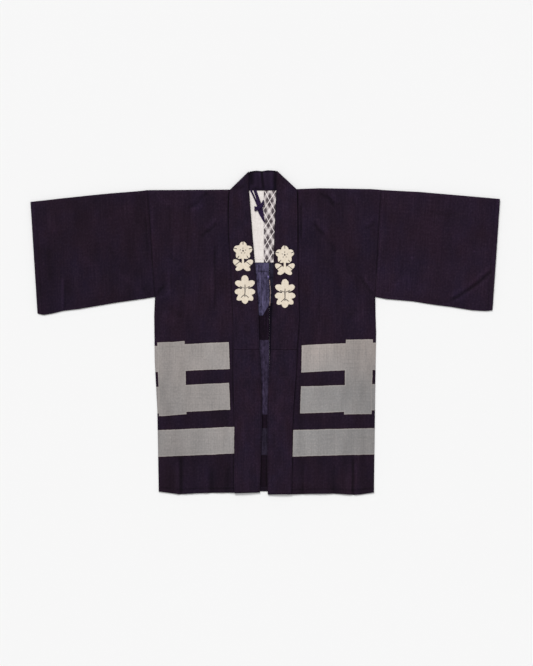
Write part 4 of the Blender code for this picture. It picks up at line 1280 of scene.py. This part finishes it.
def liningRows(part):
    x = np.concatenate([np.arange(part["from"], part["to"], lining["step"]), [part["to"]]])
    low, seed, radius = lining["lowY"], part["seed"], lining["turn"] / 2

    def height(y):
        z = lining["level"] + 0.16 * swell(x, y, 24, 60, seed) + 0.12 * swell(x, y, 9, 11, seed + 1)
        z += 0.06 * swell(x, y, 40, 4, seed + 2)
        return z - 0.16 * bell(y - low - lining["hem"], 1.3)

    # painted shade along the hem stitches, and painted shade and highlight following the fine ripples
    def wearAndShade(y):
        return -0.12 * bell(y - low - lining["hem"], 1.1) + 0.04 * swell(x, y, 40, 4, seed + 2)

    rows = []
    for inside in (lining["hem"], lining["hem"] / 2, 1.2):
        y = x * 0 + low + inside
        rows.append((x, y, height(y) - lining["turn"], x, y, 1.0, 0.0))
    for step in range(5):
        # round the foot's fold the cloth is darkened a little, painted shade
        angle = math.pi * step / 4
        y = x * 0 + low + 0.5 - radius * math.sin(angle)
        rows.append((x, y, height(y) - radius * (1 + math.cos(angle)), x, y, 0.0, -0.1))
    for up in list(np.arange(1.6, lining["topY"] - low, lining["step"])) + [lining["topY"] - low]:
        y = x * 0 + low + up
        rows.append((x, y, height(y), x, y, 0.0, wearAndShade(y)))
    return rows


for kind in ("plain", "lattice"):
    name = f"lining_{kind}"
    obj = addCloth(f"{name}_cloth", *grids(liningRows(lining[kind])), lining["wall"], finishes[kind])
    pieces[name] = placePiece(obj, [name])
print("the lining is in")


def surfaceOf(obj):
    bpy.context.view_layer.update()
    return BVHTree.FromObject(obj, bpy.context.evaluated_depsgraph_get())


def heightOn(surface, x, y):  # metres in, metres out
    place = surface.ray_cast(Vector((x, y, 0.1)), Vector((0, 0, -1)))[0]
    return None if place is None else place.z


# Collar motifs: a blossom and a leaf on each front, left undyed. Millimetres from the motif's middle

def disc(x, y, midX, midY, radius):
    return np.hypot(x - midX, y - midY) - radius


def petal(x, y, midX, midY, turn, long, wide):
    # a rounded petal or leaf, its long side at turn degrees
    c, s = math.cos(math.radians(turn)), math.sin(math.radians(turn))
    along, across = (x - midX) * c + (y - midY) * s, -(x - midX) * s + (y - midY) * c
    return (np.sqrt((along / long) ** 2 + (across / wide) ** 2) - 1) * min(long, wide)


def stroke(x, y, x0, y0, x1, y1, radius):
    share = np.clip(((x - x0) * (x1 - x0) + (y - y0) * (y1 - y0)) / ((x1 - x0) ** 2 + (y1 - y0) ** 2), 0, 1)
    return np.hypot(x - x0 - share * (x1 - x0), y - y0 - share * (y1 - y0)) - radius


def blossom(x, y):
    # five broad petals round a dotted heart, over two leaves and a bud
    shapes, cuts = [disc(x, y, 0, 14, 10)], []
    for number in range(5):
        turn = 90 + 72 * number
        c, s = math.cos(math.radians(turn)), math.sin(math.radians(turn))
        shapes.append(petal(x, y, 14.2 * c, 14 + 13.2 * s, turn, 11.6, 10.2))
        cuts.append(disc(x, y, 7.2 * c, 14 + 7.2 * s, 1.25))
        cuts.append(stroke(x, y, 18 * c, 14 + 17 * s, 27 * c, 14 + 26 * s, 0.9))
    cuts.append(disc(x, y, 0, 14, 2.1))
    shapes.append(stroke(x, y, 0, 4, 0, -26, 3.0))
    for side in (-1, 1):
        shapes.append(petal(x, y, side * 14.5, -19.5, 90 - side * 52, 14.5, 8.0))
        shapes.append(petal(x, y, side * 10.0, -32.5, 90 + side * 66, 10.5, 6.0))
        cuts.append(stroke(x, y, side * 6.5, -13.5, side * 20.5, -24.0, 0.85))
    return shapes, cuts


def leaf(x, y):
    # a lobed leaf with a slit vein
    shapes, cuts = [stroke(x, y, 0, 24, 0, -30, 8.0)], []
    shapes.append(petal(x, y, 0, 27, 90, 12.0, 9.5))
    shapes.append(petal(x, y, 0, -27, 90, 12.0, 8.0))
    for side in (-1, 1):
        shapes.append(petal(x, y, side * 14.0, 15.0, 90 - side * 64, 13.0, 8.6))
        shapes.append(petal(x, y, side * 16.0, -6.0, 90 - side * 96, 11.5, 8.2))
        shapes.append(petal(x, y, side * 11.5, -21.0, 90 + side * 52, 12.5, 8.0))
        cuts.append(stroke(x, y, side * 2.4, 3.5, side * 13.0, 8.5, 0.8))
        cuts.append(stroke(x, y, side * 2.4, -15.5, side * 10.0, -22.0, 0.8))
    cuts.append(stroke(x, y, 0, 12, 0, -20, 1.0))
    return shapes, cuts


motifs = {
    "cell": 0.9, "halfWide": 30, "halfTall": 43, "lift": 0.14, "wall": 0.12, "melt": 3, "meltCuts": 0.6,
    # name, drawing, middle x, middle y, how wide and how tall against the drawing
    "places": [
        ("motif_blossom_right", blossom, -60.6, 208, 1.02, 1.02),
        ("motif_leaf_right", leaf, -55.1, 117.4, 1.02, 1),
        ("motif_blossom_left", blossom, 53.4, 197.2, 1, 1.02),
        ("motif_leaf_left", leaf, 54, 106.4, 1.02, 1),
    ],
}


def meltTogether(fields, soft):
    # one outline round all shapes, their inner corners filled by soft millimetres
    total = fields[0]
    for field in fields[1:]:
        share = np.clip(0.5 + 0.5 * (field - total) / soft, 0, 1)
        total = between(field, total, share) - soft * share * (1 - share)
    return total


def addMotif(name, draw, midX, midY, wide, tall, surface):
    sizes = motifs["halfWide"], motifs["halfTall"]
    xs, ys = (np.arange(-half, half + 0.1, motifs["cell"]) for half in sizes)
    x, y = np.meshgrid(xs, ys, indexing="ij")
    seed = sum(map(ord, name))
    wobbleX = x + 0.5 * swell(x, y, 5, 5, seed) + 0.25 * swell(x, y, 2, 2, seed + 1)
    wobbleY = y + 0.5 * swell(x, y, 5, 5, seed + 2) + 0.25 * swell(x, y, 2, 2, seed + 3)
    shapes, cuts = draw(wobbleX, wobbleY)
    field = meltTogether(shapes, motifs["melt"])
    field = np.maximum(field, -meltTogether(cuts, motifs["meltCuts"]))
    form = bmesh.new()
    place = form.verts.layers.float_vector.new("cloth")
    rim = form.verts.layers.float.new("fade")
    made = {}

    def vertex(key, px, py, value):
        if key not in made:
            worldX, worldY = (midX + px * wide) * mm, (midY + py * tall) * mm
            worldZ = heightOn(surface, worldX, worldY) + motifs["lift"] * mm
            made[key] = form.verts.new((worldX, worldY, worldZ))
            made[key][place] = (px * mm, py * mm, 0.0)
            made[key][rim] = -0.15 * max(0.0, 1 + value / 1.6)
        return made[key]

    for i in range(len(xs) - 1):
        for j in range(len(ys) - 1):
            corners = [(i, j), (i + 1, j), (i + 1, j + 1), (i, j + 1)]
            values = [field[c] for c in corners]
            if min(values) > 0:
                continue
            ring = []
            for k in range(4):
                (a, va), (b, vb) = ((corners[n % 4], values[n % 4]) for n in (k, k + 1))
                if va <= 0:
                    ring.append(vertex(a, xs[a[0]], ys[a[1]], va))
                if (va <= 0) != (vb <= 0):
                    share = va / (va - vb)
                    px, py = between(xs[a[0]], xs[b[0]], share), between(ys[a[1]], ys[b[1]], share)
                    ring.append(vertex(tuple(sorted((a, b))), px, py, 0.0))
            if len(ring) > 2:
                form.faces.new(ring)
    bmesh.ops.remove_doubles(form, verts=form.verts, dist=1e-5)
    bmesh.ops.dissolve_degenerate(form, edges=form.edges, dist=1e-6)
    obj = formObject(form, name, finishes["motif"][0])
    thicken = obj.modifiers.new("wall", "SOLIDIFY")
    thicken.thickness = motifs["wall"] * mm
    thicken.offset = -1.0
    return placePiece(obj)


upperCollar = surfaceOf(pieces["collar_upper"])
motifPieces = [addMotif(*row, upperCollar) for row in motifs["places"]]
print("the motifs are in")


# Sewing threads: hems, cuffs, lining foot, neck seam and centre back seam

stitches = {
    # thread, thickness, spacing, stitch length
    "hem": ("darkThread", 0.42, 9, 2.2), "foot": ("paleThread", 0.42, 5.5, 2.6),
    "neck": ("tanThread", 0.42, 3, 2.6), "centre": ("tanThread", 2.2, 14.8, 14.4),
    # name, piece it lies on, slot, kind of stitch, points along the seam
    "rows": [
        (
            "stitches_hem_right", "body_right", "indigo_cotton", "hem",
            [(-286, -421.8), (-262, -424.9), (-234, -428.7), (-185, -425.9), (-130, -424.5), (-90, -424.4)],
        ),
        (
            "stitches_hem_left", "body_left", "indigo_cotton", "hem",
            [(76, -429), (120, -427.7), (186, -426.9), (241, -430.1), (259, -429.5), (291, -424.4)],
        ),
        ("stitches_cuff_right", "sleeve_right", "indigo_cotton", "hem", [(-626.2, 354), (-610.6, 60)]),
        ("stitches_cuff_left", "sleeve_left", "indigo_cotton", "hem", [(626.2, 360), (604.4, 66)]),
        ("stitches_lining_plain", "lining_plain", "plain_lining", "foot", [(-40, 199.3), (-5, 199.3)]),
        ("stitches_lining_lattice", "lining_lattice", "lattice_lining", "foot", [(-2, 199.3), (34, 199.3)]),
        ("stitches_neck_seam", "lining_plain", "plain_lining", "neck", [(-23, 385.6), (-5, 385.7)]),
        ("stitches_neck_seam_left", "lining_lattice", "lattice_lining", "neck", [(-2, 385.7), (28, 385.9)]),
        (
            "stitches_centre_back", "body_left", "indigo_cotton", "centre",
            [(11.6, 151), (12.6, 134), (14.8, 112), (12.4, 72)],
        ),
    ],
}


def addStitches(name, host, slotName, kind, line):
    thread, thickness, spacing, length = stitches[kind]
    surface = surfaceOf(pieces[host])
    stops = np.array(line, float)
    along = travel(stops)
    form = bmesh.new()
    spot = spacing / 2
    while spot + length < along[-1]:
        ring = []
        for share in np.linspace(0, 1, 6):
            here = spot + share * length + random.uniform(-0.15, 0.15)
            x, y = (np.interp(here, along, stops[:, k]) for k in (0, 1))
            ahead = np.array([np.interp(here + 0.5, along, stops[:, k]) for k in (0, 1)]) - (x, y)
            ahead /= max(np.linalg.norm(ahead), 1e-6)
            radius = thickness / 2 * math.sin(math.pi * min(max(share, 0.12), 0.88)) ** 0.4
            z = heightOn(surface, x * mm, y * mm)
            if z is None:
                continue
            lift = 0.32 * math.sin(math.pi * share) - 0.14
            loop = []
            for corner in range(6):
                angle = math.pi * corner / 3
                sideways = radius * math.cos(angle)
                px, py = (x - ahead[1] * sideways) * mm, (y + ahead[0] * sideways) * mm
                loop.append(form.verts.new((px, py, z + (lift + radius * math.sin(angle)) * mm)))
            ring.append(loop)
        for first, second in zip(ring, ring[1:]):
            for corner in range(6):
                after = (corner + 1) % 6
                form.faces.new([first[corner], first[after], second[after], second[corner]])
        if ring:
            form.faces.new(ring[0][::-1])
            form.faces.new(ring[-1])
        spot += spacing * random.uniform(0.85, 1.15)
    bmesh.ops.recalc_face_normals(form, faces=form.faces)
    return placePiece(formObject(form, name, finishes[thread][0]))


sewn = {}
for row in stitches["rows"]:
    sewn.setdefault(row[1], []).append(addStitches(*row))
print("the sewing is in")
